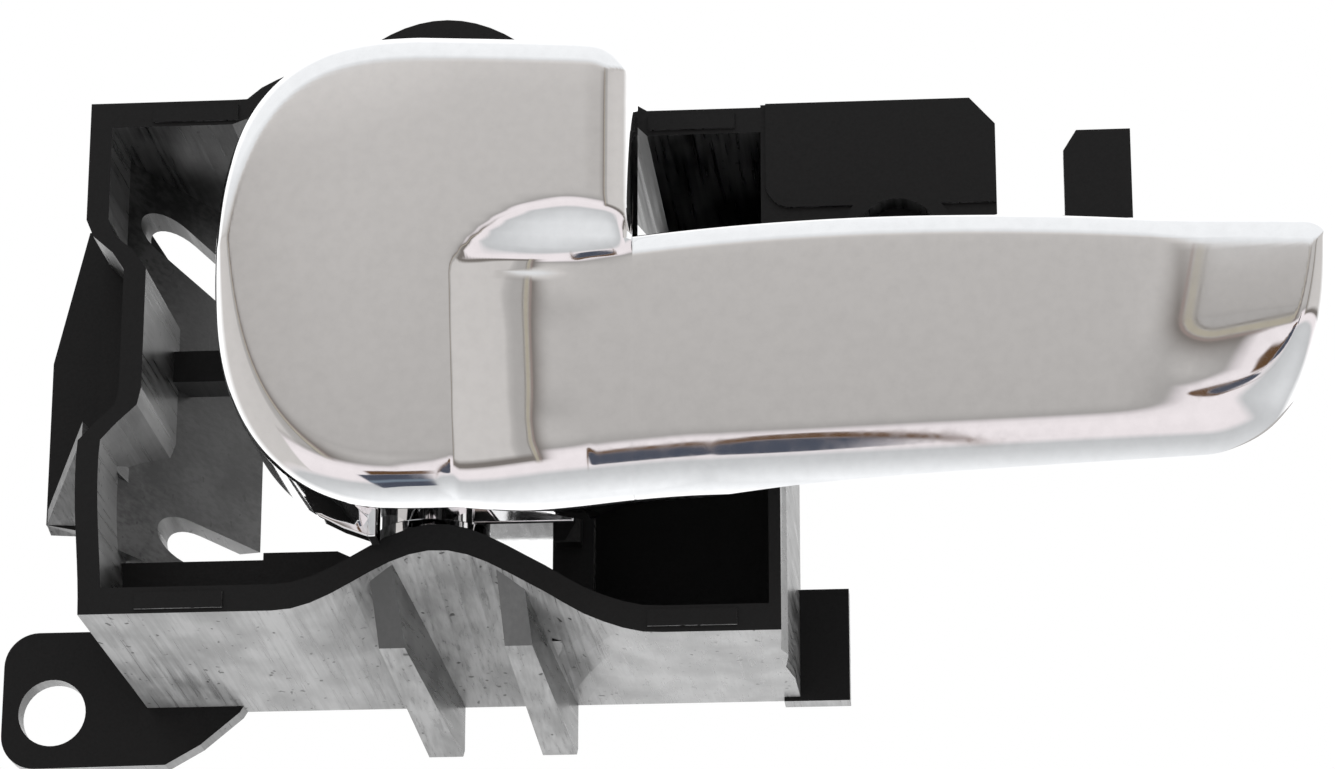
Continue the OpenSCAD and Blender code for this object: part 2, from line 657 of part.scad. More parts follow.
module housing() color([0.13, 0.13, 0.14]) difference() {
    union() {
        lower_wall();
        left_wall();
        slanted_wall();
        upper_wall();
        fixing_ear();
        side_wing();
        screw_plate();
        belly_rib(left_rib_front, left_rib_w, left_rib_back, rib_back_w);
        belly_rib(right_rib_front, right_rib_w, right_rib_back, rib_back_w);
        // Right wall, rear wall and divider of the closed chamber
        translate([inner_right, rim_y, back_floor - 0.2])
            cube([right_t, box_d, rim_top_r - back_floor]);
        translate([inner_right, rim_y, floor_line(box_right)])
            rotate([90, 0, 90]) linear_extrude(right_t)
                polygon([[0, 0], [0, 6], [box_d, 6], [box_d, back_floor - floor_line(box_right)]]);
        translate([divider_x, -plate_t, back_floor + 1])
            cube([inner_right - divider_x + 0.5, plate_t, rim_top_r - 3]);
        translate([divider_x, divider_front, back_floor + 1])
            cube([divider_t, -divider_front, rim_top_r - 2]);
        translate([divider_x, divider_front, 4]) cube([divider_lip, divider_t, rim_top_r - 6]);
        // Foot at the lower right, on the seating plane
        translate([inner_right - join, -plate_t, foot_low]) cube([foot_w, plate_t, foot_h]);
        // Low rib across the floor of the open chamber, higher near the arch
        translate([0, pivot_y + 4.2, 0]) rotate([90, 0, 0]) linear_extrude(2.2) polygon([
            [box_left + 1.4, 2], [box_left + 1.4, 10.9], [box_left + 20.3, 10.9],
            [box_left + 20.3, 11.8], [box_left + 29.3, 11.8], [box_left + 33.3, 9.9],
            [box_left + 33.3, 4]]);
        // Bar that the spring leg rests on
        translate([bar_left, bar_front, bar_z0]) cube([bar_right - bar_left, bar_d, bar_h]);
        // Seat of the cable's outer sleeve, hung from the upper wall
        translate([bar_right - 3.5, cable_y - 6, arm_z0 - 5])
            cube([3, 13, roof_line(bar_right - 3.5) - roof_t_mid / 2 - arm_z0 + 5]);
        // Lower boss, in two halves that follow the slope of the lower wall
        intersection() {
            translate([pivot_x, pivot_y, arch_top_z - 3.9]) cylinder(r = barrel_r, h = 4.1);
            translate([pivot_x - 10, pivot_y - 10, 0]) cube([20, 10, 30]);
        }
        intersection() {
            translate([pivot_x, pivot_y, arch_top_z - 5.1]) cylinder(r = barrel_r, h = 5.3);
            translate([pivot_x - 10, pivot_y, 0]) cube([20, 10, 30]);
        }
        // Upper boss
        translate([pivot_x, pivot_y, top_boss_z])
            cylinder(r = barrel_r, h = roof_line(pivot_x) - top_boss_z - 1);
        rim_seat(seat_left, floor_z + 0.5);
        rim_seat(seat_right, floor_line(seat_right + seat_w / 2) + 0.7);
        rim_seat(seat_left, rim_top - seat_h - 0.7);
        rim_seat(seat_right, rim_top_r - seat_h - 0.6);
    }
    // Lower fixing hole
    translate([0, 1, 0]) rotate([90, 0, 0]) cylinder(d = ear_hole_d, h = plate_t + 2);
    // Screw hole and its sunk seat
    translate([screw_x, rim_y + 12, screw_z]) rotate([90, 0, 0]) cylinder(d = screw_d, h = 15);
    translate([screw_x, rim_y + 3, screw_z]) rotate([90, 0, 0]) cylinder(d = screw_seat_d, h = 5);
    // Bores of the pivot pin, the lower one blind
    translate([pivot_x, pivot_y, pin_z0]) cylinder(r = pin_d / 2 + press_clear, h = 2 * rim_top);
    // Open slot for the cable's outer sleeve
    translate([bar_right - 6, cable_y, arm_z0 + arm_t / 2]) rotate([0, 90, 0])
        cylinder(r = 2.6, h = 8);
    translate([bar_right - 6, cable_y, arm_z0 + arm_t / 2 - 1.9]) cube([8, 10, 3.8]);
}

pin_z0 = arch_top_z - 3.4;
pin_z1 = roof_line(pivot_x) - 0.6;
pin_chamfer = 0.5;
module pivot_pin() color([0.62, 0.63, 0.65]) translate([pivot_x, pivot_y, pin_z0])
    rotate_extrude() polygon([[0, 0], [pin_d / 2 - pin_chamfer, 0], [pin_d / 2, pin_chamfer],
        [pin_d / 2, pin_z1 - pin_z0 - pin_chamfer], [pin_d / 2 - pin_chamfer, pin_z1 - pin_z0],
        [0, pin_z1 - pin_z0]]);

// Torsion spring: the upper leg lies on the housing's bar, the lower leg presses
// on the inside of the pad
spring_leg_z = bar_z0 + bar_h / 2;
spring_pitch = 1.15 * wire_d + 0.35;
spring_low_z = spring_leg_z - coil_turns * spring_pitch;
spring_start = 100;
leg_sides = 8;
function coil_point(a) = let (t = a / (360 * coil_turns))
    [pivot_x + coil_r * cos(spring_start + a), pivot_y + coil_r * sin(spring_start + a),
     spring_leg_z - t * (spring_leg_z - spring_low_z)];
upper_leg = [bar_right - 9, bar_front - wire_d / 2 - seat_clear, spring_leg_z];
lower_leg_x = pivot_x - 15;
lower_leg = [lower_leg_x, pad_y + shell_t + 0.65 + wire_d / 2 + seat_clear, spring_low_z];
spring_path = concat(
    [upper_leg, upper_leg + 0.5 * (coil_point(0) - upper_leg)],
    [for (a = [0:18:360 * coil_turns]) coil_point(a)],
    [for (a = [18:18:144]) let (p = coil_point(360 * coil_turns + a)) [p[0], p[1], spring_low_z]],
    [lower_leg + [3, 6.2, 0], lower_leg]);
// Tube of a few sides carried along the path, its rings square to the path
module wire_tube(path, r, sides) {
    n = len(path);
    rings = [for (i = [0:n - 1])
        let (d = path[min(i + 1, n - 1)] - path[max(i - 1, 0)],
             t = d / norm(d),
             s = let (c = cross([0, 0, 1], t)) c / norm(c),
             u = cross(t, s))
        [for (k = [0:sides - 1]) path[i] + r * (cos(360 * k / sides) * s + sin(360 * k / sides) * u)]];
    polyhedron([for (q = rings) each q],
        concat([for (i = [0:n - 2]) for (k = [0:sides - 1])
                let (a = i * sides + k, b = i * sides + (k + 1) % sides)
                each [[a, a + sides, b], [b, a + sides, b + sides]]],
            [[for (k = [0:sides - 1]) k]],
            [[for (k = [sides - 1:-1:0]) (n - 1) * sides + k]]));
}
module return_spring() color([0.5, 0.5, 0.52]) wire_tube(spring_path, wire_d / 2, leg_sides);

// Rubber bumper that quietens the lever on its stop
module stop_bumper() color([0.08, 0.08, 0.08])
    translate([divider_x + slip_clear, divider_front - bumper_t, lug_z0])
        cube([lug_x1 - divider_x - slip_clear - bumper_inset, bumper_t, bumper_h]);

housing();
lever();
pivot_pin();
return_spring();
stop_bumper();
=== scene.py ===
# %% [markdown]
# # A car's interior door handle
# A bright pull lever turns on an upright pin in a black moulded housing. This
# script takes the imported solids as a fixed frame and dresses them: it models the
# lever's curved shell finely enough to carry clean reflections, gives every part
# its finish, and sets the light and the camera. Lengths in the formulas are in
# millimetres, and the meshes are in metres.

# %% The frame
from math import cos, pi, radians, sin

import bpy
import numpy as np
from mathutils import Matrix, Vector


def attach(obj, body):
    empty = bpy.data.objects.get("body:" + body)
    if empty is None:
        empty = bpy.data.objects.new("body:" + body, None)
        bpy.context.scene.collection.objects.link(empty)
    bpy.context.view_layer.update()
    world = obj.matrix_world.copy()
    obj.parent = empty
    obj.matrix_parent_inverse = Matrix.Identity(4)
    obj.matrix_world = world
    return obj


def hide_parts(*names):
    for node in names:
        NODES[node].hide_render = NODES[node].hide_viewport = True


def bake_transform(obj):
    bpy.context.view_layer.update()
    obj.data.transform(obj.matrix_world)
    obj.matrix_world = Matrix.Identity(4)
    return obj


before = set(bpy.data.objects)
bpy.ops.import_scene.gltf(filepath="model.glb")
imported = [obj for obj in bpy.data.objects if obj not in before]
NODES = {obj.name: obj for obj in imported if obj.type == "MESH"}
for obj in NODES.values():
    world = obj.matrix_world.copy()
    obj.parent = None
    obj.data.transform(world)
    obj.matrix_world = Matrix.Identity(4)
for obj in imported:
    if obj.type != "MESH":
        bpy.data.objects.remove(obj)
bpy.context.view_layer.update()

MM = 0.001
print("nodes:", sorted(NODES))

# %% [markdown]
# ## Small tools
# Three kinds of surface make every new piece: a skin lofted through rings of
# points, a profile turned round an upright axis, and an outline drawn out along
# an axis. Each is built as one array of points and one array of faces, which is
# quick and keeps each formula in one place. A mesh by hand or a boolean would
# give the same shapes with seams that show in a mirror finish.

# %% Mesh tools
SHARP_ANGLE = radians(32)


def add_piece(name, points_mm, faces):
    """Makes a shaded mesh object from points in millimetres and faces that are wound outward."""
    mesh = bpy.data.meshes.new(name)
    mesh.from_pydata((np.asarray(points_mm) * MM).tolist(), [], [list(f) for f in faces])
    mesh.validate()
    mesh.shade_smooth()
    mesh.set_sharp_from_angle(angle=SHARP_ANGLE)
    piece = bpy.data.objects.new(name, mesh)
    bpy.context.collection.objects.link(piece)
    return piece


def skin_faces(rings, points, closed_rings=False):
    """Quads between neighbouring rings; ring i, point j has the index i * points + j."""
    i, j = np.meshgrid(np.arange(rings if closed_rings else rings - 1), np.arange(points), indexing="ij")
    k, n = (j + 1) % points, (i + 1) % rings
    quads = np.stack([i * points + j, i * points + k, n * points + k, n * points + j], -1)
    return quads.reshape(-1, 4).tolist()


def turned(name, profile, centre, steps=96):
    """Turns a closed profile of (radius, z) round an upright axis. The profile runs anticlockwise
    in the plane of radius and z, so the skin faces outward."""
    profile = np.array(profile, float)
    angle = np.linspace(0, 2 * pi, steps, endpoint=False)[:, None]
    x = centre[0] + profile[:, 0] * np.cos(angle)
    y = centre[1] + profile[:, 0] * np.sin(angle)
    z = np.broadcast_to(profile[:, 1], x.shape)
    faces = skin_faces(steps, len(profile), closed_rings=True)
    return add_piece(name, np.stack([x, y, z], -1).reshape(-1, 3), [f[::-1] for f in faces])


def drawn(name, outline, low, high, axis="z", round_off=0.3):
    """Draws a closed anticlockwise outline out from low to high along z, or along y with an outline
    of (x, z), and rounds its edges."""
    n = len(outline)
    if axis == "z":
        points = [(x, y, low) for x, y in outline] + [(x, y, high) for x, y in outline]
    else:
        points = [(x, high, z) for x, z in outline] + [(x, low, z) for x, z in outline]
    sides = [[i, (i + 1) % n, n + (i + 1) % n, n + i] for i in range(n)]
    piece = add_piece(name, points, sides + [list(range(n))[::-1], list(range(n, 2 * n))])
    edge = piece.modifiers.new("round", "BEVEL")
    edge.width, edge.segments, edge.limit_method = round_off * MM, 3, "ANGLE"
    edge.harden_normals = True
    return piece


# %% [markdown]
# ## Outline of the lever
# Seen from the cabin, the lever is a tall round pad that runs out into a long
# blade. These are the values of the part's own source, so the fine shell and the
# plain one share an outline. X runs along the lever, Z is up and -Y faces the
# cabin. The outline could be drawn as a curve, but a formula for its upper and
# its lower line lets the face below use the distance to each edge.

# %% Lever sizes
RIM_Y, RIM_TOP = -46.0, 65
PIVOT_X, PIVOT_Y = 52.5, -34.0
PAD_Y, LIP_Y = RIM_Y - 17.4, RIM_Y - 2
PAD_L, PAD_R = PIVOT_X - 22.6, PIVOT_X + 25.9
TIP_X = PAD_R + 79.7
PAD_BOTTOM, PAD_TOP = 8.5, 66.4
PAD_MID_X, PAD_MID_Z = PAD_L + 23.4, PAD_BOTTOM + 28.5
BLADE_ROOT_Z = PAD_BOTTOM + 33
BLADE_PEAK_RUN, BLADE_CROWN = 29.6, 1.5
BLADE_PEAK_X, BLADE_PEAK_Z = PAD_R + BLADE_PEAK_RUN, BLADE_ROOT_Z + BLADE_CROWN
SAG_IN, SAG_OUT = BLADE_CROWN / BLADE_PEAK_RUN**2, 0.0015
TIP_RUN, TIP_TOP_RUN = 15.1, 3.6
PAD_CORNER = 5.0
TOP_POWER, LOW_POWER, TOP_SLOPE = 2.7, 2.4, 0.05
LOW_RISE, LOW_RISE_X, LOW_RISE_RUN = 1.9, PAD_MID_X + 1.7, 33
LOW_SLOPE, LOW_SLOPE_X = 0.025, PAD_R + 9.6
SPLIT_X, SPLIT_Z = PAD_MID_X + 3.7, PAD_BOTTOM + 29.8
SPLIT_SHARE_L, SPLIT_SHARE_R = 0.515, 0.9
SHELL = 2.4
print("lever from x", round(PAD_L, 1), "to", round(TIP_X, 1), "mm")


# %% Lever outline
def smooth(t):
    """Step from 0 to 1 that leaves and arrives level: 3t squared less 2t cubed."""
    t = np.clip(t, 0, 1)
    return t * t * (3 - 2 * t)


def ease_line(t, start, end):
    """Straight climb from 0 to 1, with parabolas over the shares start and end to leave and arrive level."""
    t = np.clip(t, 0, 1)
    steep = 1 / (1 - start / 2 - end / 2)
    return np.select([t < start, t <= 1 - end], [steep * t * t / (2 * start), steep * (t - start / 2)],
                     1 - steep * (1 - t) ** 2 / (2 * end))


def oval(u, power):
    """Height of a superellipse at the share u of its half width."""
    return np.maximum(0, 1 - np.clip(u, 0, 1) ** power) ** (1 / power)


def blade_top(x):
    """Upper line of the blade: a parabola, steeper before its peak than after it."""
    return BLADE_PEAK_Z - np.where(x < BLADE_PEAK_X, SAG_IN, SAG_OUT) * (x - BLADE_PEAK_X) ** 2


def pad_top_line(x):
    """Upper line of the pad right of its middle: it falls slowly and straight."""
    return PAD_TOP - TOP_SLOPE * np.maximum(0, x - PAD_MID_X)


def z_top(x):
    """Upper outline of the lever: a superellipse, a falling line, a round corner, then the blade."""
    left = PAD_MID_Z + (PAD_TOP - PAD_MID_Z) * oval((PAD_MID_X - x) / (PAD_MID_X - PAD_L), TOP_POWER)
    corner = pad_top_line(PAD_R - PAD_CORNER) - PAD_CORNER + np.sqrt(
        np.maximum(0, PAD_CORNER**2 - (x - PAD_R + PAD_CORNER) ** 2))
    tip = PAD_MID_Z + (blade_top(TIP_X - TIP_TOP_RUN) - PAD_MID_Z) * oval(
        (x - TIP_X + TIP_TOP_RUN) / TIP_TOP_RUN, 2)
    return np.select([x < PAD_MID_X, x < PAD_R - PAD_CORNER, x <= PAD_R, x < TIP_X - TIP_TOP_RUN],
                     [left, pad_top_line(x), corner, blade_top(x)], tip)


def low_line(x):
    """Lower outline right of the pad's middle: level, a smooth rise, then a slow slope."""
    rise = LOW_RISE * smooth((x - LOW_RISE_X) / LOW_RISE_RUN)
    return PAD_BOTTOM + rise + LOW_SLOPE * np.maximum(0, x - LOW_SLOPE_X)


def z_bottom(x):
    """Lower outline of the lever, with a superellipse at each end."""
    left = PAD_MID_Z - (PAD_MID_Z - PAD_BOTTOM) * oval((PAD_MID_X - x) / (PAD_MID_X - PAD_L), LOW_POWER)
    tip = PAD_MID_Z - (PAD_MID_Z - low_line(TIP_X - TIP_RUN)) * oval((x - TIP_X + TIP_RUN) / TIP_RUN, 2)
    return np.select([x < PAD_MID_X, x < TIP_X - TIP_RUN], [left, low_line(x)], tip)


def z_split(x):
    """Line that divides the blade from the upper part of the pad."""
    b, t = z_bottom(x), z_top(x)
    return np.select([x < SPLIT_X, x <= PAD_R], [b + SPLIT_SHARE_L * (t - b), SPLIT_Z],
                     b + SPLIT_SHARE_R * (t - b))


print("blade", round(float(blade_top(BLADE_PEAK_X) - low_line(BLADE_PEAK_X)), 1), "mm tall at its peak")

# %% [markdown]
# ## Face of the lever
# The face starts as a gently crowned sheet. It sinks from the pad's middle to
# the floor of the blade, under a slanting shoulder, and sweeps forward again
# towards the tip. Every edge rolls back by a quarter of an ellipse. One height
# function keeps the reflections continuous, where separate patches would crack.
# The solid's face is simpler: its rolls are tighter, and it has no swept tip.

# %% Face sizes
CROWN_L, CROWN_R, CROWN_LOW, CROWN_HIGH = 0.0004, 0.0012, 0.0007, 0.0012
LEAN = 0.010
SCOOP, FLOOR_EXTRA = 3.4, 0.72
# Way into the scoop: place and tilt of its crease, its length, and its bends as height, spread and gain
CREASE_X, CREASE_TILT, WAY_IN = PAD_MID_X + 4.0, 0.04, 16
BENDS = ((34, 2.6, 1.8), (18.5, 2.2, -1.2))
WAY_IN_CUT, WAY_IN_CUT_Z, WAY_IN_CUT_H = 2.4, 36, 3
# Shoulder over the scoop: its lower edge, and its width, which grows and then shrinks a little
SHOULDER_X, SHOULDER_Z, SHOULDER_CLIMB = PAD_MID_X + 3.2, PAD_BOTTOM + 27.2, 0.15
SHOULDER_MIN, SHOULDER_GAIN, SHOULDER_GAIN_RUN = 0.9, 6.1, 11
SHOULDER_LOSS, SHOULDER_LOSS_START, SHOULDER_LOSS_RUN = 1.6, 13, 9
# Forward sweep of the tip, which fades towards the lower edge
SWEEP_X, SWEEP_TILT, SWEEP_Z = TIP_X - 27.6, 0.2, 28
SWEEP_RUN, SWEEP_SLOPE = 15, 0.225
SWEEP_LOW, SWEEP_FADE = 5, 11.5
# Width and depth of the rolled edges
LOW_ROLL_PAD, LOW_ROLL_BLADE, LOW_ROLL_TIP = (5.6, 3.4), (7.2, 4.3), (3.6, 3.2)
LOW_ROLL_BLADE_X, LOW_ROLL_BLADE_RUN = PAD_MID_X + 3, 13
LOW_ROLL_TIP_X, LOW_ROLL_TIP_RUN = TIP_X - 12, 9
TOP_ROLL_PAD, TOP_ROLL_BLADE, SIDE_ROLL = (3.7, 3.0), (3.4, 1.7), (3.2, 3.2)
BEVEL, BEVEL_X, BEVEL_RUN, BEVEL_H = 0.5, PAD_MID_X + 17.5, 7, 3
SLOPE_STEP, FAR_AWAY = 0.2, 99
print("scoop", SCOOP, "mm deep, lower edge of the blade rolled over", LOW_ROLL_BLADE, "mm")


# %% Lever face
def sheet(x, z):
    """Crowned sheet: shallow parabolas, flatter to the left and below, and a slow lean along the blade."""
    along = np.minimum(x, PAD_R) - PAD_MID_X
    up = z - PAD_MID_Z
    return (PAD_Y + np.where(along < 0, CROWN_L, CROWN_R) * along**2
            + np.where(up < 0, CROWN_LOW, CROWN_HIGH) * up**2 - LEAN * np.maximum(0, x - PAD_R))


def sunk(x, z):
    """Depth of the floor below the sheet. The way in is an eased line, nearly a parabola, that starts
    in a crease and wavers a little as a moulded one does. The floor passes under the shoulder by an
    eased line too. On the pad it lies a little deeper, to take out the crown and lean of the sheet."""
    over = x - SHOULDER_X
    low = SHOULDER_Z + SHOULDER_CLIMB * over
    width = (SHOULDER_MIN + SHOULDER_GAIN * ease_line(over / SHOULDER_GAIN_RUN, 0.1, 0.9)
             - SHOULDER_LOSS * smooth((over - SHOULDER_LOSS_START) / SHOULDER_LOSS_RUN))
    under = np.where(x > PAD_R, 1, 1 - ease_line((z - low) / width, 0.25, 0.25))
    waver = sum(gain * np.exp(-(((z - height) / spread) ** 2)) for height, spread, gain in BENDS)
    run = WAY_IN + waver - WAY_IN_CUT * smooth((z - WAY_IN_CUT_Z) / WAY_IN_CUT_H)
    crease = CREASE_X + CREASE_TILT * (PAD_MID_Z - z)
    level = FLOOR_EXTRA + LEAN * (PAD_R - x) - CROWN_R * (x - PAD_MID_X) ** 2
    depth = SCOOP + np.where(x > PAD_R, 0, level)
    return depth * under * ease_line((x - crease) / run, 0.03, 0.9)


def swept(x, z):
    """Forward sweep of the tip. Its slope grows by a smooth step, whose integral is t cubed less
    half of t to the fourth, and stays. It starts further right higher up, and an eased line takes
    it to nothing just above the lower edge."""
    start = SWEEP_X + SWEEP_TILT * (z - SWEEP_Z)
    t = np.maximum(0, (x - start) / SWEEP_RUN)
    rise = np.where(t < 1, np.clip(t, 0, 1) ** 3 - np.clip(t, 0, 1) ** 4 / 2, t - 0.5)
    fade = ease_line((z - low_line(x) - SWEEP_LOW) / SWEEP_FADE, 0.2, 0.2)
    return SWEEP_SLOPE * SWEEP_RUN * rise * fade


def roll(distance, size):
    """Fall of a rolled edge at a distance from it: a quarter of an ellipse of that width and depth."""
    width, depth = size
    return depth * (1 - np.sqrt(np.clip(1 - (1 - np.clip(distance, 0, width) / width) ** 2, 0, 1)))


def low_roll(x):
    """Width and depth of the lower rolled edge: widest along the blade, tight at the tip."""
    blade = smooth((x - LOW_ROLL_BLADE_X) / LOW_ROLL_BLADE_RUN)
    tip = smooth((x - LOW_ROLL_TIP_X) / LOW_ROLL_TIP_RUN)
    return [(pad + (middle - pad) * blade) * (1 - tip) + end * tip
            for pad, middle, end in zip(LOW_ROLL_PAD, LOW_ROLL_BLADE, LOW_ROLL_TIP)]


def slope_share(line, here, there):
    """Cosine of an outline's slope, which turns a height above it into a distance from it."""
    return SLOPE_STEP / np.hypot(SLOPE_STEP, line(there) - line(here))


def front_y(x, z):
    """Depth of the face: the sheet, the sunk floor, the swept tip, the deepest of three rolled
    edges and a small bevel."""
    here = np.minimum(x, TIP_X - SLOPE_STEP)
    after_top = np.where(x < PAD_R, np.minimum(here + SLOPE_STEP, PAD_R), here + SLOPE_STEP)
    from_top = (z_top(x) - z) * slope_share(z_top, here, after_top)
    from_low = (z - z_bottom(x)) * slope_share(z_bottom, here, here + SLOPE_STEP)
    beyond = BLADE_ROOT_Z - z
    round_corner = np.hypot(PAD_R - x, beyond) + beyond
    from_side = np.where(x > PAD_R, FAR_AWAY, np.where(beyond < 0, PAD_R - x, round_corner))
    top = np.where(x > PAD_R, roll(from_top, TOP_ROLL_BLADE), roll(from_top, TOP_ROLL_PAD))
    rolls = np.maximum(np.maximum(top, roll(from_low, low_roll(x))), roll(from_side, SIDE_ROLL))
    bevel = BEVEL * smooth((x - BEVEL_X) / BEVEL_RUN) * np.where(
        x > PAD_R, 0, smooth((z - BLADE_ROOT_Z) / BEVEL_H))
    return sheet(x, z) + sunk(x, z) - swept(x, z) + bevel + rolls


print("face at the pad's middle: y", round(float(front_y(np.array([PAD_MID_X]), PAD_MID_Z)[0]), 2), "mm")

# %% [markdown]
# ## Back of the lever
# The moulding is hollow behind the pad, where it wraps the barrels, and full
# behind the blade. A solidify modifier would give an even wall, but the real
# back edges come forward along the blade and clear the lower barrel. So the
# back has formulas of its own, and each ring of the loft goes once round the
# section: lower back edge, face, upper back edge, inside.

# %% Back sizes
BACK_LEAN = 0.018
LOW_BACK_IN, LOW_BACK_X, LOW_BACK_RUN = 8.5, PAD_R - 6, 9
TOP_BACK_IN, TOP_BACK_X, TOP_BACK_RUN = 8.6, PAD_R - 8, 16
COLLAR_LIFT, COLLAR_LIFT_X, COLLAR_LIFT_RUN = 3.6, PIVOT_X - 7, 3
COLLAR_DROP_X, COLLAR_DROP_RUN = PIVOT_X + 8.5, 13
TIP_LIFT, TIP_LIFT_X, TIP_LIFT_RUN = 0.5, TIP_X - 8, 7
HOLLOW_RUN_L, HOLLOW_RUN_R, INNER_STEP = 1.5, 4, 0.6
FILL, FILL_X, FILL_RUN = 1.8, PAD_R - 8, 12
FILL_END_X, FILL_END_RUN = TIP_X - 9, 7
print("wall", SHELL, "mm, blade filled by", FILL, "mm behind")


# %% Lever back
def low_back_y(x):
    """Depth of the lower back edge: level at the pad, then an exponential run forward to the blade."""
    forward = LOW_BACK_IN * (1 - np.exp(-np.maximum(0, x - LOW_BACK_X) / LOW_BACK_RUN))
    return LIP_Y - forward - BACK_LEAN * np.maximum(0, x - PAD_R)


def top_back_y(x):
    """Depth of the upper back edge, brought forward by a smooth step at the pad's right side."""
    forward = TOP_BACK_IN * smooth((x - TOP_BACK_X) / TOP_BACK_RUN)
    return LIP_Y - forward - BACK_LEAN * np.maximum(0, x - PAD_R)


def back_lift(x):
    """Height of the lower back edge above the front one: it clears the lower barrel."""
    past = smooth((x - COLLAR_DROP_X) / COLLAR_DROP_RUN)
    collar = COLLAR_LIFT * (smooth((x - COLLAR_LIFT_X) / COLLAR_LIFT_RUN) - past)
    return collar + TIP_LIFT * past * (1 - smooth((x - TIP_LIFT_X) / TIP_LIFT_RUN))


def inside_y(x, z, share):
    """Depth of the inside: a straight line between the back edges, filled behind the blade and
    hollowed behind the pad to one wall from the face. It meets the edges at the shares 0 and 1."""
    low_back, top_back = low_back_y(x), top_back_y(x)
    edge = low_back + (top_back - low_back) * (z - z_bottom(x)) / np.maximum(1, z_top(x) - z_bottom(x))
    hollow_end = smooth((x - PAD_R + HOLLOW_RUN_R) / HOLLOW_RUN_R)
    hollow = smooth((x - PAD_L - SHELL) / HOLLOW_RUN_L) * (1 - hollow_end)
    fill = FILL * smooth((x - FILL_X) / FILL_RUN) * (1 - smooth((x - FILL_END_X) / FILL_END_RUN))
    inside = edge + (1 - hollow) * fill - hollow * (edge - front_y(x, z) - SHELL)
    return np.where(share == 0, top_back, np.where(share == 1, low_back, inside))


def shell_points(x, low_share, top_share, rear_share):
    """Rings of the closed shell, one per station x: lower back edge, face, upper back edge, inside.
    Where the lower roll is deeper than the edge, the face starts where the roll meets the back."""
    x = x[:, None]
    b, s, t = z_bottom(x), z_split(x), z_top(x)
    room = np.minimum(SHELL, (t - b) / 3)
    width, depth = low_roll(x)
    missing = 1 - np.clip((low_back_y(x) - sheet(x, b) - sunk(x, b) + swept(x, b)) / depth, 0, 1)
    cut = width * (1 - np.sqrt(1 - missing**2))
    lift = np.maximum(back_lift(x), cut)
    first = b + np.minimum(cut, (s - b) / 3)
    z = np.hstack([first + (s - first) * low_share, s + (t - s) * top_share])
    under_root = np.minimum(t, blade_top(np.array(PAD_R)))
    inner_top = np.where(x < PAD_R - SHELL - INNER_STEP, t, under_root) - room
    inner_z = inner_top + (b + lift + room - inner_top) * rear_share
    ys = np.hstack([low_back_y(x), front_y(x, z), top_back_y(x), inside_y(x, inner_z, rear_share)])
    zs = np.hstack([b + lift, z, t, inner_z])
    return np.stack([np.broadcast_to(x, ys.shape), ys, zs], -1)


def make_lever_shell():
    """Skin through the rings, which lie closer together at the round ends, with a fan at each end."""
    stations = np.concatenate([
        PAD_L + (PAD_MID_X - PAD_L) * (1 - np.cos(np.radians(np.linspace(5, 90, 44)))),
        np.linspace(PAD_MID_X, PAD_R - PAD_CORNER, 60)[1:],
        PAD_R - PAD_CORNER + PAD_CORNER * np.sin(np.radians(np.linspace(0, 89, 18)[1:])),
        np.linspace(PAD_R + 0.02, PAD_R + 12, 30),
        np.linspace(PAD_R + 12, TIP_X - TIP_RUN - 3, 66)[1:],
        TIP_X - (TIP_RUN + 3) * (1 - np.sin(np.radians(np.linspace(0, 85, 44)[1:])))])
    low_share = np.linspace(0, 1, 56) ** 1.7
    top_share = 1 - (1 - np.linspace(0, 1, 41)[1:]) ** 1.8
    rings = shell_points(stations, low_share, top_share, np.linspace(0, 1, 24))
    count, size = rings.shape[:2]
    apex = [(rings[i, size // 3] + rings[i, -12]) / 2 + (dx, 0, 0) for i, dx in ((0, -0.05), (-1, 0.05))]
    last = (count - 1) * size
    caps = [[(k + 1) % size, k, count * size] for k in range(size)] + [
        [last + k, last + (k + 1) % size, count * size + 1] for k in range(size)]
    faces = [f[::-1] for f in skin_faces(count, size) + caps]
    print("lever shell:", count, "rings of", size, "points")
    return add_piece("lever_shell", np.vstack([rings.reshape(-1, 3), apex]), faces)


lever_shell = make_lever_shell()

# %% [markdown]
# ## Barrels, lug and cable arm
# The lever turns on two barrels tied to the inside of its face by webs. Beside
# the lower one is the stop lug, and the upper one carries the arm that pulls the
# release cable. These are turned and drawn pieces with rounded edges, as in the
# one moulding that is plated whole.

# %% Inner sizes
BARREL_R, BORE_R, EASE = 6.7, 2.55, 0.35
FLOOR_Z, ARCH_RISE, WALL = 0.6, 6.9, 3.2
TOP_BOSS_DROP, SLIP = 3.1, 0.4
BARREL_Z0 = FLOOR_Z + ARCH_RISE + WALL + 0.6
BARREL_H, COLLAR_H, COLLAR_IN = 8.6, 1.7, 0.25
TOP_Z1 = RIM_TOP - TOP_BOSS_DROP - SLIP
ARM_Z0, ARM_REACH, ARM_R, ARM_H = TOP_Z1 - 11.5, 17, 3.4, 3
LUG_X, LUG_Z = PIVOT_X + 17.2, BARREL_Z0 + 1.7
LUG_H, LUG_FALL, LUG_FALL_RUN = 2.8, 2.0, 8
SKIRT_X, SKIRT_Z = PIVOT_X - 4.6, BARREL_Z0 - 3.4
print("barrels from z", round(BARREL_Z0, 1), "and", round(ARM_Z0, 1), "mm")


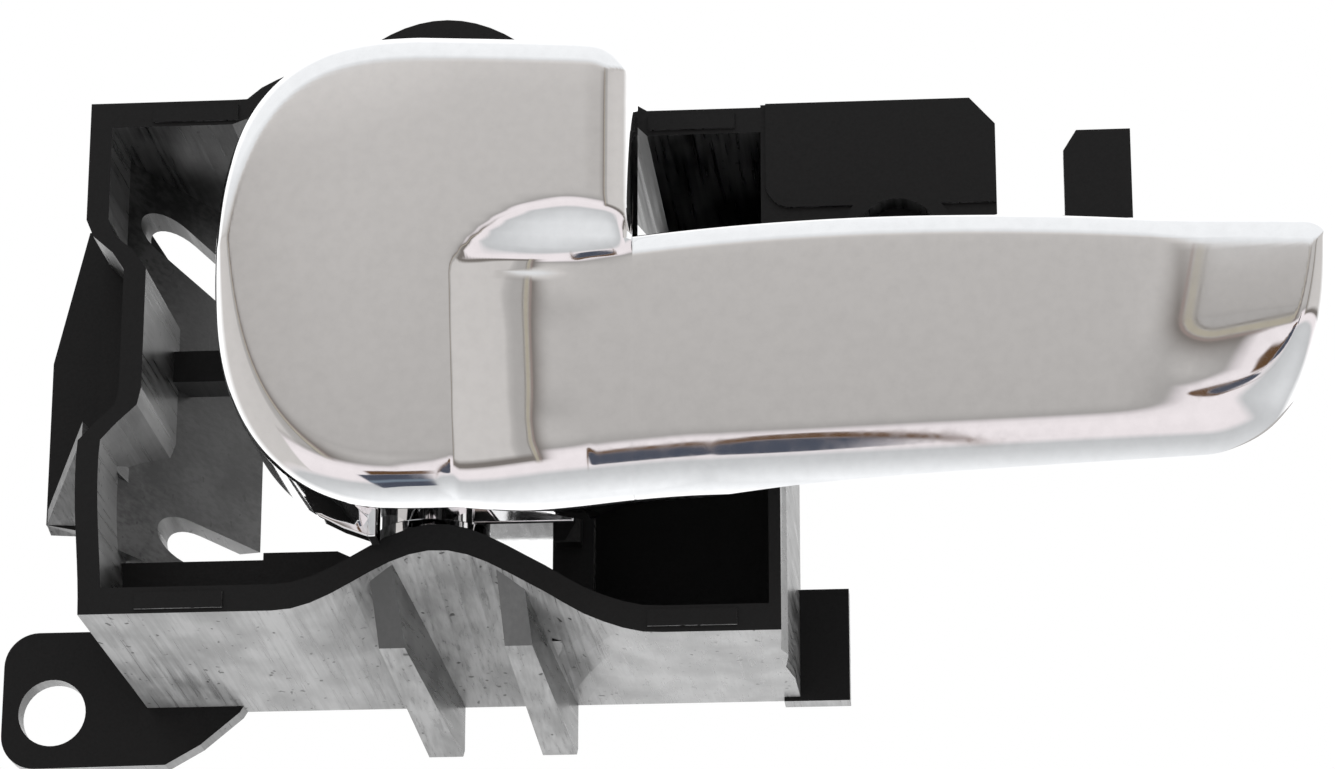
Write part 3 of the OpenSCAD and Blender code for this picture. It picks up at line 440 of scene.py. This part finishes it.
# %% Lever inner parts
def barrel_profile(z0, z1, step_z=None):
    """Closed profile of a bored barrel with eased rims and, above step_z, a slightly smaller radius."""
    upper = BARREL_R if step_z is None else BARREL_R - COLLAR_IN
    middle = [] if step_z is None else [(BARREL_R, step_z - 0.12), (upper, step_z + 0.05)]
    return ([(BORE_R, z0), (BARREL_R - EASE, z0), (BARREL_R, z0 + EASE)] + middle
            + [(upper, z1 - EASE), (upper - EASE, z1), (BORE_R, z1)])


def web_plan():
    """Plan of a web: wide where it meets the inside of the face, it narrows to the barrel."""
    wall_y, bore_x, bore_y = PAD_Y + SHELL + 1.2, BORE_R + 0.2, PIVOT_Y - 2.2
    return [(PIVOT_X - 12, wall_y), (PIVOT_X + 9.5, wall_y), (PIVOT_X + BARREL_R - 0.3, PIVOT_Y),
            (PIVOT_X + bore_x, bore_y), (PIVOT_X - bore_x, bore_y), (PIVOT_X - BARREL_R + 0.3, PIVOT_Y)]


def stop_lug():
    """Wedge beside the lower barrel: its plan narrows to the back and its top falls to the right."""
    plan = [(PIVOT_X + 5, PIVOT_Y - 4), (LUG_X, PIVOT_Y - 4), (LUG_X, PIVOT_Y - 2.8),
            (LUG_X - 1.8, PIVOT_Y + 4), (PIVOT_X + 5, PIVOT_Y + 4)]
    piece = drawn("stop_lug", plan, LUG_Z, LUG_Z + LUG_H)
    for vertex in piece.data.vertices:
        if vertex.co.z > (LUG_Z + 1) * MM:
            fall = LUG_FALL * float(smooth((vertex.co.x / MM - PIVOT_X - 7) / LUG_FALL_RUN))
            vertex.co.z -= fall * MM
    return piece


def cable_arm():
    """Flat arm behind the upper barrel with a half-round end."""
    end = [(PIVOT_X + ARM_R * cos(a), PIVOT_Y + ARM_REACH + ARM_R * sin(a)) for a in np.linspace(0, pi, 17)]
    start = [(PIVOT_X - ARM_R, PIVOT_Y + 5), (PIVOT_X + ARM_R, PIVOT_Y + 5)]
    return drawn("cable_arm", start + end, ARM_Z0, ARM_Z0 + ARM_H)


def skirt():
    """Thin apron behind the pad's lower edge, to the left of the lower barrel."""
    outline = [(PIVOT_X - 15.6, BARREL_Z0 + 5), (PIVOT_X - 11.5, BARREL_Z0 - 0.4),
               (PIVOT_X - 8.6, SKIRT_Z + 1.5), (SKIRT_X, SKIRT_Z), (SKIRT_X, BARREL_Z0 + 1.4),
               (PIVOT_X - 9.5, BARREL_Z0 + 2.4), (PIVOT_X - 13, BARREL_Z0 + 7)]
    return drawn("skirt", outline, LIP_Y - 1.4, LIP_Y + 1, axis="y", round_off=0.25)


def skirt_end():
    """Narrow end plate of the skirt, square to it."""
    plan = [(SKIRT_X - 1, LIP_Y - 3), (SKIRT_X, LIP_Y - 3), (SKIRT_X, LIP_Y + 1), (SKIRT_X - 1, LIP_Y + 1)]
    return drawn("skirt_end", plan, SKIRT_Z, BARREL_Z0 + 1.6, round_off=0.2)


pivot = (PIVOT_X, PIVOT_Y)
lever_parts = [
    lever_shell,
    turned("lower_barrel", barrel_profile(BARREL_Z0, BARREL_Z0 + BARREL_H, BARREL_Z0 + COLLAR_H), pivot),
    turned("upper_barrel", barrel_profile(ARM_Z0, TOP_Z1), pivot),
    drawn("lower_web", web_plan(), BARREL_Z0 + 3.6, BARREL_Z0 + 8.2),
    drawn("upper_web", web_plan(), TOP_Z1 - 6, TOP_Z1),
    stop_lug(), cable_arm(), skirt(), skirt_end()]
for part in lever_parts:
    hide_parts("lever")
    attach(part, "lever")
print("lever pieces:", [p.name for p in lever_parts])

# %% [markdown]
# ## Return spring
# A torsion spring is one wire: a straight leg on the housing's bar, five turns
# round the pin, and a second leg on the inside of the pad. A round tube is
# carried along its path. The two legs belong to different bodies.

# %% Spring
WIRE, COIL_R, TURNS = 1.3, 4.8, 5
PITCH = 1.15 * WIRE + 0.35
LEG_Z = 37.5
LOW_Z = LEG_Z - TURNS * PITCH
LEG_GAP = WIRE / 2 + 0.3
START_ANGLE, ANGLE_STEP, LAST_ARC = 100, 6, 145


def tube(name, path, radius, sides=16):
    """Round tube along a path: at each point a circle square to the run of the path."""
    run = np.gradient(path, axis=0)
    run /= np.linalg.norm(run, axis=1, keepdims=True)
    side = np.cross([0, 0, 1], run)
    side /= np.linalg.norm(side, axis=1, keepdims=True)
    up = np.cross(run, side)
    a = np.linspace(0, 2 * pi, sides, endpoint=False)[None, :, None]
    points = path[:, None] + radius * (np.cos(a) * side[:, None] + np.sin(a) * up[:, None])
    n = len(path)
    ends = [list(range(sides))[::-1], list(range((n - 1) * sides, n * sides))]
    return add_piece(name, points.reshape(-1, 3), skin_faces(n, sides) + ends)


def spring_path():
    """Middle line of the wire: a leg, a helix that sinks evenly over its turns, a level arc, a leg."""
    turn = np.radians(np.arange(0, 360 * TURNS + 1, ANGLE_STEP))
    arc = np.radians(np.arange(ANGLE_STEP, LAST_ARC, ANGLE_STEP)) + turn[-1]
    angle = np.concatenate([turn, arc]) + radians(START_ANGLE)
    height = np.concatenate([LEG_Z - turn / turn[-1] * (LEG_Z - LOW_Z), np.full(len(arc), LOW_Z)])
    coil = np.stack([PIVOT_X + COIL_R * np.cos(angle), PIVOT_Y + COIL_R * np.sin(angle), height], -1)
    top_leg = np.array([PIVOT_X - 18, PIVOT_Y + 7 - LEG_GAP, LEG_Z])
    low_leg = np.array([PIVOT_X - 15, PAD_Y + SHELL + 0.65 + LEG_GAP, LOW_Z])
    straight = [top_leg + (coil[0] - top_leg) * k for k in (0, 0.25, 0.5, 0.75)]
    return np.vstack([straight, coil, [low_leg + (3, 6.2, 0), low_leg]])


path = spring_path()
spring = tube("spring_coil", path, WIRE / 2)
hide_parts("return_spring")
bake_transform(spring)
print("spring:", len(path), "points along the wire")

# %% [markdown]
# ## Finishes
# Each material is a node tree on object coordinates, so it stays on the part
# from every side. A picture wrapped round the part would need an unwrap and
# would stretch. These helpers keep each tree to a few lines.

# %% Material tools
def add_node(tree, kind, inputs=(), **settings):
    """Adds a shader node, sets its settings and fills or links its inputs."""
    new = tree.nodes.new(kind)
    for key, value in settings.items():
        setattr(new, key, value)
    for key, value in dict(inputs).items():
        if isinstance(value, bpy.types.NodeSocket):
            tree.links.new(value, new.inputs[key])
        else:
            new.inputs[key].default_value = value
    return new


def start_material(name, **constants):
    """A new material, its tree, its shader and its object coordinates."""
    material = bpy.data.materials.new(name)
    material.use_nodes = True
    tree = material.node_tree
    shader = tree.nodes["Principled BSDF"]
    for key, value in constants.items():
        shader.inputs[key.replace("_", " ")].default_value = value
    return material, tree, shader, add_node(tree, "ShaderNodeTexCoord")


def scaled_noise(tree, coords, scale, detail=3.0):
    """Noise whose grain is 1 / scale metres long on each axis."""
    mapped = add_node(tree, "ShaderNodeMapping", {"Vector": coords.outputs["Object"], "Scale": scale})
    return add_node(tree, "ShaderNodeTexNoise",
                    {"Vector": mapped.outputs[0], "Scale": 1.0, "Detail": detail}).outputs[0]


def ramp(tree, value, low, high, to_low=0.0, to_high=1.0):
    """Maps a value from low..high to to_low..to_high and holds it there."""
    return add_node(tree, "ShaderNodeMapRange", {"Value": value, "From Min": low, "From Max": high,
                                                 "To Min": to_low, "To Max": to_high}).outputs[0]


def product(tree, a, b):
    """a times b."""
    return add_node(tree, "ShaderNodeMath", {0: a, 1: b}, operation="MULTIPLY").outputs[0]


def grey(tone):
    """An even grey as a colour."""
    return (tone, tone, tone, 1)


def blend_colour(tree, share, a, b):
    """Colour a, going over to colour b with the share."""
    mix = add_node(tree, "ShaderNodeMix", data_type="RGBA")
    for socket, value in (("Factor_Float", share), ("A_Color", a), ("B_Color", b)):
        target = next(i for i in mix.inputs if i.identifier == socket)
        if isinstance(value, bpy.types.NodeSocket):
            tree.links.new(value, target)
        else:
            target.default_value = value
    return next(o for o in mix.outputs if o.identifier == "Result_Color")


def bump(tree, shader, height, distance, strength=1.0):
    """Raises the surface by the height, in metres of distance."""
    made = add_node(tree, "ShaderNodeBump",
                    {"Height": height, "Distance": distance, "Strength": strength})
    tree.links.new(made.outputs[0], shader.inputs["Normal"])


# %% [markdown]
# ## Black moulding
# The moulding is matt where its mould was textured, on the faces square to Y,
# and satin with fine lines where its walls were drawn out of the mould. Its
# underside and its left inner wall are painted pale, with scuffs on top: a painted
# reflection of a bright room, which they mirror at a low angle. One shader tells
# all of these apart by the normal and the height, where a slot for each would need the faces sorted by hand.

# %% Black moulding finish
DEEP_BLACK, SCUFFED = (0.004, 0.004, 0.0042, 1), grey(0.075)
# Pale tones painted in as the reflection of a bright room, plain and scuffed, for the underside and the left
# inner wall
UNDERSIDE_REFLECTION, UNDERSIDE_REFLECTION_SCUFFED = grey(0.19), grey(0.38)
INNER_WALL_REFLECTION, INNER_WALL_REFLECTION_SCUFFED = grey(0.050), grey(0.19)
# Heights in metres between which the painted reflection tones set in
UNDERSIDE_REFLECTION_FADE, INNER_WALL_REFLECTION_FADE = (0.030, 0.016), (0.052, 0.024)


def moulded_black():
    """Matt on the faces square to Y; satin, lined along Y and a little scuffed on drawn walls; a pale
    painted reflection, with scuffs, where a wall low on the part faces down or to the right."""
    material, tree, shader, coords = start_material("moulded_black", IOR=1.35)
    normal = add_node(tree, "ShaderNodeSeparateXYZ", {0: coords.outputs["Normal"]})
    height = add_node(tree, "ShaderNodeSeparateXYZ", {0: coords.outputs["Object"]}).outputs[2]
    facing = add_node(tree, "ShaderNodeMath", {0: normal.outputs[1]}, operation="ABSOLUTE").outputs[0]
    side = ramp(tree, facing, 0.75, 0.25)
    lines = scaled_noise(tree, coords, (1700, 45, 1700), 4)
    cloud = scaled_noise(tree, coords, (160, 90, 160), 3)
    grain = scaled_noise(tree, coords, (2600, 2600, 2600), 2)
    specks = ramp(tree, scaled_noise(tree, coords, (1100, 700, 1100), 1), 0.70, 0.76)
    scuff = product(tree, side, ramp(tree, product(tree, lines, cloud), 0.16, 0.36))
    colour = blend_colour(tree, scuff, DEEP_BLACK, SCUFFED)
    # Painted reflection: faces that point down, low on the part, take a pale tone, scuffed in places
    under = product(tree, ramp(tree, normal.outputs[2], -0.6, -0.85), ramp(tree, height, *UNDERSIDE_REFLECTION_FADE))
    reflection_and_scuffs = blend_colour(tree, scuff, UNDERSIDE_REFLECTION, UNDERSIDE_REFLECTION_SCUFFED)
    colour = blend_colour(tree, under, colour, reflection_and_scuffs)
    # Painted reflection: faces that point to the right, low on the part (the left inner wall), take a pale
    # tone too
    inside = product(tree, ramp(tree, normal.outputs[0], 0.4, 0.8), ramp(tree, height, *INNER_WALL_REFLECTION_FADE))
    reflection_and_scuffs = blend_colour(tree, scuff, INNER_WALL_REFLECTION, INNER_WALL_REFLECTION_SCUFFED)
    colour = blend_colour(tree, inside, colour, reflection_and_scuffs)
    colour = blend_colour(tree, product(tree, specks, side), colour, grey(0.004))
    tree.links.new(colour, shader.inputs["Base Color"])
    satin = ramp(tree, lines, 0.3, 0.7, 0.24, 0.40)
    matt = ramp(tree, grain, 0.3, 0.7, 0.52, 0.64)
    rough = add_node(tree, "ShaderNodeMix", {0: side, 2: matt, 3: satin})
    tree.links.new(rough.outputs[0], shader.inputs["Roughness"])
    texture = add_node(tree, "ShaderNodeMix", {0: side, 2: grain, 3: lines})
    bump(tree, shader, texture.outputs[0], 0.00003, 0.6)
    return material


# %% [markdown]
# ## Chrome, steel and rubber
# The plating is a clean mirror with a very slight waviness. The pin and the
# spring are plain drawn steel, and the bumper is dull rubber. Each is one noise
# or two on the shader's own inputs, because more would show as dirt.

# %% Other finishes
def bright_chrome():
    """Clean plating with a faint long wave and the finest haze."""
    material, tree, shader, coords = start_material("bright_chrome", Metallic=1.0)
    haze = scaled_noise(tree, coords, (700, 700, 700), 3)
    tint = blend_colour(tree, ramp(tree, haze, 0.35, 0.75), (0.88, 0.88, 0.885, 1), (0.84, 0.84, 0.845, 1))
    tree.links.new(tint, shader.inputs["Base Color"])
    tree.links.new(ramp(tree, haze, 0.3, 0.8, 0.035, 0.075), shader.inputs["Roughness"])
    bump(tree, shader, scaled_noise(tree, coords, (70, 70, 70), 1), 0.00006, 0.5)
    return material


def drawn_steel(name, tone, rough):
    """Grey steel with fine drawing marks and a few darker patches."""
    material, tree, shader, coords = start_material(name, Metallic=1.0)
    marks = scaled_noise(tree, coords, (3000, 3000, 200), 3)
    patch = scaled_noise(tree, coords, (240, 240, 240), 3)
    colour = blend_colour(tree, ramp(tree, patch, 0.4, 0.7), (tone, tone, tone * 1.02, 1),
                          (tone * 0.7, tone * 0.68, tone * 0.66, 1))
    tree.links.new(colour, shader.inputs["Base Color"])
    tree.links.new(ramp(tree, marks, 0.3, 0.7, rough, rough + 0.15), shader.inputs["Roughness"])
    bump(tree, shader, marks, 0.00001, 0.5)
    return material


def soft_rubber():
    """Dull black rubber with a dusty grain."""
    material, tree, shader, coords = start_material("bumper_rubber", IOR=1.45)
    grain = scaled_noise(tree, coords, (1800, 1800, 1800), 3)
    dusty = (0.035, 0.034, 0.033, 1)
    colour = blend_colour(tree, ramp(tree, grain, 0.4, 0.8), grey(0.014), dusty)
    tree.links.new(colour, shader.inputs["Base Color"])
    tree.links.new(ramp(tree, grain, 0.3, 0.7, 0.7, 0.85), shader.inputs["Roughness"])
    bump(tree, shader, grain, 0.00004, 0.6)
    return material


def dress(thing, material):
    """Puts one material on every slot of an object, or adds a slot."""
    if thing.material_slots:
        for slot in thing.material_slots:
            slot.material = material
    else:
        thing.data.materials.append(material)


chrome = bright_chrome()
for part in lever_parts:
    dress(part, chrome)
dress(spring, drawn_steel("spring_steel", 0.42, 0.28))
dress(NODES["pivot_pin"], drawn_steel("pin_steel", 0.55, 0.22))
dress(NODES["stop_bumper"], soft_rubber())
dress(NODES["housing"], moulded_black())
for name in ("housing", "pivot_pin"):
    NODES[name].data.shade_smooth()
    NODES[name].data.set_sharp_from_angle(angle=SHARP_ANGLE)
print("materials:", sorted(m.name for m in bpy.data.materials))

# %% [markdown]
# ## Floor
# The part hangs over a wide pale floor, which only throws light back up at it.
# The chrome doesn't mirror it, because the painted room has a floor of its own.

# %% Floor
STAGE_Z, STAGE_HALF = -0.25, 4
corners = [(-1, -1), (1, -1), (1, 1), (-1, 1)]
floor_mesh = bpy.data.meshes.new("floor")
floor_mesh.from_pydata([(i * STAGE_HALF, j * STAGE_HALF, STAGE_Z) for i, j in corners], [], [(0, 1, 2, 3)])
floor = bpy.data.objects.new("floor", floor_mesh)
bpy.context.collection.objects.link(floor)
pale, _, pale_shader, _ = start_material("pale_floor", Roughness=0.7)
pale_shader.inputs["Base Color"].default_value = grey(0.85)
floor_mesh.materials.append(pale)
floor.visible_glossy = False
print("floor", 2 * STAGE_HALF, "m wide at z", STAGE_Z, "m")

# %% [markdown]
# ## The room in the chrome
# What the chrome shows is the room, so the room is painted by direction: warm
# grey walls, a white ceiling, a pale rose floor that goes over to cool grey and
# then to white, a grey panel on each side past a seam, and two dark openings
# low in front. Real walls would do as well, but they would shade the part.

# %% Room tones
# Grey of the room in front, by elevation in degrees
ROOM = [(-75, 1.10, "cool"), (-60, 0.95, "cool"), (-48, 0.82, "cool"), (-36, 0.68, "cool"),
        (-27, 0.62, "cool"), (-20, 0.92, "rose"), (-4, 0.95, "rose"), (2, 0.88, "rose"),
        (5, 0.66, "rose"), (7.5, 0.40, "warm"), (10, 0.43, "warm"), (14, 0.485, "warm"),
        (18, 0.52, "warm"), (22, 0.55, "warm"), (28, 0.58, "warm"), (31, 0.68, "warm"),
        (36, 0.86, "cool"), (43, 1.02, "cool"), (90, 1.05, "cool")]
# Grey of the side panels, by angle to the side in degrees
PANEL = [(19, 0.42), (26, 0.44), (28.5, 0.50), (30, 0.62), (60, 0.65), (110, 0.66), (130, 0.92), (180, 1.0)]
SHADES = {"warm": (1.025, 0.985, 0.955), "rose": (1.02, 0.95, 0.965), "cool": (0.98, 0.995, 1.01)}
SEAM, SEAM_SHADE = 19.5, (0.21, 0.19, 0.175, 1)
# Lines beside the seam: start and end in degrees past it, and colour
SEAM_LINES = ((-1.2, -0.4, (0.32, 0.255, 0.235, 1)), (0, 1.6, (0.46, 0.42, 0.34, 1)),
              (1.9, 2.3, (0.22, 0.20, 0.18, 1)))
SILL_BROWN, FIELD_BLUE, GLINT = (0.13, 0.070, 0.035, 1), (0.075, 0.085, 0.115, 1), (0.20, 0.25, 0.31, 1)
BACK_LIGHT = 1.3
DEG = 180 / pi
print("room:", len(ROOM), "tones by height and", len(PANEL), "by angle to the side")

# %% Room tools
world = bpy.data.worlds.new("room")
bpy.context.scene.world = world
world.use_nodes = True
room = world.node_tree
room.nodes.clear()


def figure(kind, *values):
    """One step of arithmetic on room values."""
    return add_node(room, "ShaderNodeMath", dict(enumerate(values)), operation=kind).outputs[0]


def band(value, low, high, soft):
    """1 between low and high, with edges soft degrees wide."""
    rise = ramp(room, value, low - soft, low + soft)
    return product(room, rise, ramp(room, value, high + soft, high - soft))


def tone_ramp(value, stops, lowest, highest):
    """Colour ramp whose stops are given by their angle."""
    made = add_node(room, "ShaderNodeValToRGB", {0: ramp(room, value, lowest, highest)})
    while len(made.color_ramp.elements) < len(stops):
        made.color_ramp.elements.new(0.5)
    for stop, (angle, tone, *shade) in zip(made.color_ramp.elements, stops):
        stop.position = (angle - lowest) / (highest - lowest)
        stop.color = (*(tone * c for c in SHADES[shade[0] if shade else "warm"]), 1)
    return made.outputs[0]


looking = add_node(room, "ShaderNodeTexCoord").outputs["Generated"]
direction = add_node(room, "ShaderNodeSeparateXYZ", {0: looking})
up = figure("MULTIPLY", figure("ARCSINE", direction.outputs[2]), DEG)
ahead = figure("MULTIPLY", direction.outputs[1], -1.0)
across = figure("MULTIPLY", figure("ARCTAN2", direction.outputs[0], ahead), DEG)
aside = figure("ABSOLUTE", across)
print("room painted by height and by angle to the side")

# %% Walls, seams and panels
# The white ceiling reaches lower on the left, and the rose floor starts lower there
to_left = ramp(room, across, -6, -20)
above = figure("ADD", up, product(room, ramp(room, up, 14, 22), figure("MULTIPLY", to_left, 7.0)))
below = figure("ADD", above, product(room, ramp(room, up, 12, 5), ramp(room, across, -5, -9, 0.0, 13.0)))
front = tone_ramp(below, ROOM, -90, 90)
# The wall darkens towards the seam on each side
level = band(above, -9, 31, 3)
shade_in = product(room, level, ramp(room, aside, 9, SEAM - 1.6))
front = blend_colour(room, product(room, shade_in, shade_in), front, SEAM_SHADE)
# The panel past the seam reaches lower on the far left and ends higher on the right
lowered = figure("ADD", above, figure("MULTIPLY", ramp(room, across, -38, -48), 26.0))
lowered = figure("SUBTRACT", lowered, figure("MULTIPLY", ramp(room, across, 0, 10), 9.0))
panel_height = product(room, ramp(room, lowered, -11, -5), ramp(room, above, 34, 28))
past = product(room, ramp(room, aside, SEAM - 0.4, SEAM - 0.2), panel_height)
front = blend_colour(room, past, front, tone_ramp(aside, PANEL, 0, 180))
for start, end, colour in SEAM_LINES:
    line = product(room, level, band(aside, SEAM + start, SEAM + end, 0.2))
    front = blend_colour(room, line, front, colour)
print("seams at", SEAM, "degrees with", len(SEAM_LINES), "lines each")

# %% Openings
# Each of the two openings has a brown sill above a dark blue field. The left one has slanting
# edges, and the edges of the right one bend with the square of the angle
slant = figure("SUBTRACT", up, figure("MULTIPLY", figure("MINIMUM", figure("ADD", across, 11.0), 0.0), 0.55))
bow = figure("POWER", figure("ADD", across, 3.4), 2.0)
arched = figure("ADD", up, figure("MULTIPLY", bow, 2.8))
dished = figure("SUBTRACT", up, bow)
# Left and right limit, then the line and value of the lower and of the upper limit, in degrees
FIELDS = ((-14.5, -6.9, slant, -20.0, slant, -14.5, SILL_BROWN),
          (-18, -7.4, slant, -43, slant, -20, FIELD_BLUE),
          (-6.2, -0.6, arched, -4.0, arched, 2.0, SILL_BROWN),
          (-5.8, -1.9, dished, -21, arched, -4, FIELD_BLUE))
for left, right, foot, low, head, high, colour in FIELDS:
    tall = product(room, ramp(room, foot, low - 0.5, low + 0.5), ramp(room, head, high + 0.5, high - 0.5))
    hole = product(room, band(across, left, right, 0.5), tall)
    front = blend_colour(room, hole, front, colour)
glint = product(room, band(across, -18, -7.6, 0.5), band(slant, -33, -29, 1.5))
front = blend_colour(room, glint, front, GLINT)
print("fields in the openings:", len(FIELDS))

# %% Room behind and backdrop
# Behind the part the room is one even light, and the camera itself sees plain white
behind = ramp(room, direction.outputs[1], 0.0, 0.35)
tones = blend_colour(room, behind, front, grey(BACK_LIGHT))
seen = add_node(room, "ShaderNodeLightPath").outputs["Is Camera Ray"]
backdrop = blend_colour(room, seen, tones, grey(1))
shine = add_node(room, "ShaderNodeBackground", {0: backdrop, 1: 1.0})
add_node(room, "ShaderNodeOutputWorld", {0: shine.outputs[0]})
print("room nodes:", len(room.nodes))

# %% [markdown]
# ## Lamps
# Two large soft panels light the black moulding: a key from the upper left and
# a weak fill from below. They are hidden from reflections, so the chrome shows
# the room alone, where bare lamps would leave bright squares in it.

# %% Lamps
MIDDLE = (0.07, -0.03, 0.03)


def soft_box(name, place, width, energy):
    """A square light panel that faces the middle of the part."""
    data = bpy.data.lights.new(name, "AREA")
    data.shape, data.size, data.energy = "SQUARE", width, energy
    light = bpy.data.objects.new(name, data)
    light.location = place
    light.rotation_euler = (Vector(MIDDLE) - Vector(place)).to_track_quat("-Z", "Y").to_euler()
    light.visible_glossy = False
    bpy.context.collection.objects.link(light)


soft_box("key", (-0.5, -0.9, 0.7), 0.7, 3)
soft_box("fill", (0.3, -0.5, -0.8), 0.6, 2)
print("lamps:", sorted(light.name for light in bpy.data.lights))

# %% [markdown]
# ## Camera
# The camera stands low and a little to the right and looks up at the part. Its
# place was solved from the straight edges of the housing, whose front rim and
# seating plane are a known distance apart. A guess by eye would put the ribs
# below the housing out of line with its rim.

# %% Camera
AZIMUTH, ELEVATION, DISTANCE = 4.6, -18.6, 0.52
SENSOR, FOCAL = 36, 119.2
TARGET = Vector((81.436, -46.0, 27.146)) * MM
a, e = radians(AZIMUTH), radians(-ELEVATION)
forward = Vector((-sin(a) * cos(e), cos(a) * cos(e), sin(e)))
lens = bpy.data.cameras.new("camera")
lens.sensor_width, lens.lens = SENSOR, FOCAL
camera = bpy.data.objects.new("camera", lens)
camera.location = TARGET - DISTANCE * forward
camera.rotation_euler = forward.to_track_quat("-Z", "Y").to_euler()
bpy.context.collection.objects.link(camera)
bpy.context.scene.camera = camera
bpy.context.scene.view_settings.view_transform = "Standard"
print("camera at", [round(v, 3) for v in camera.location], "m")
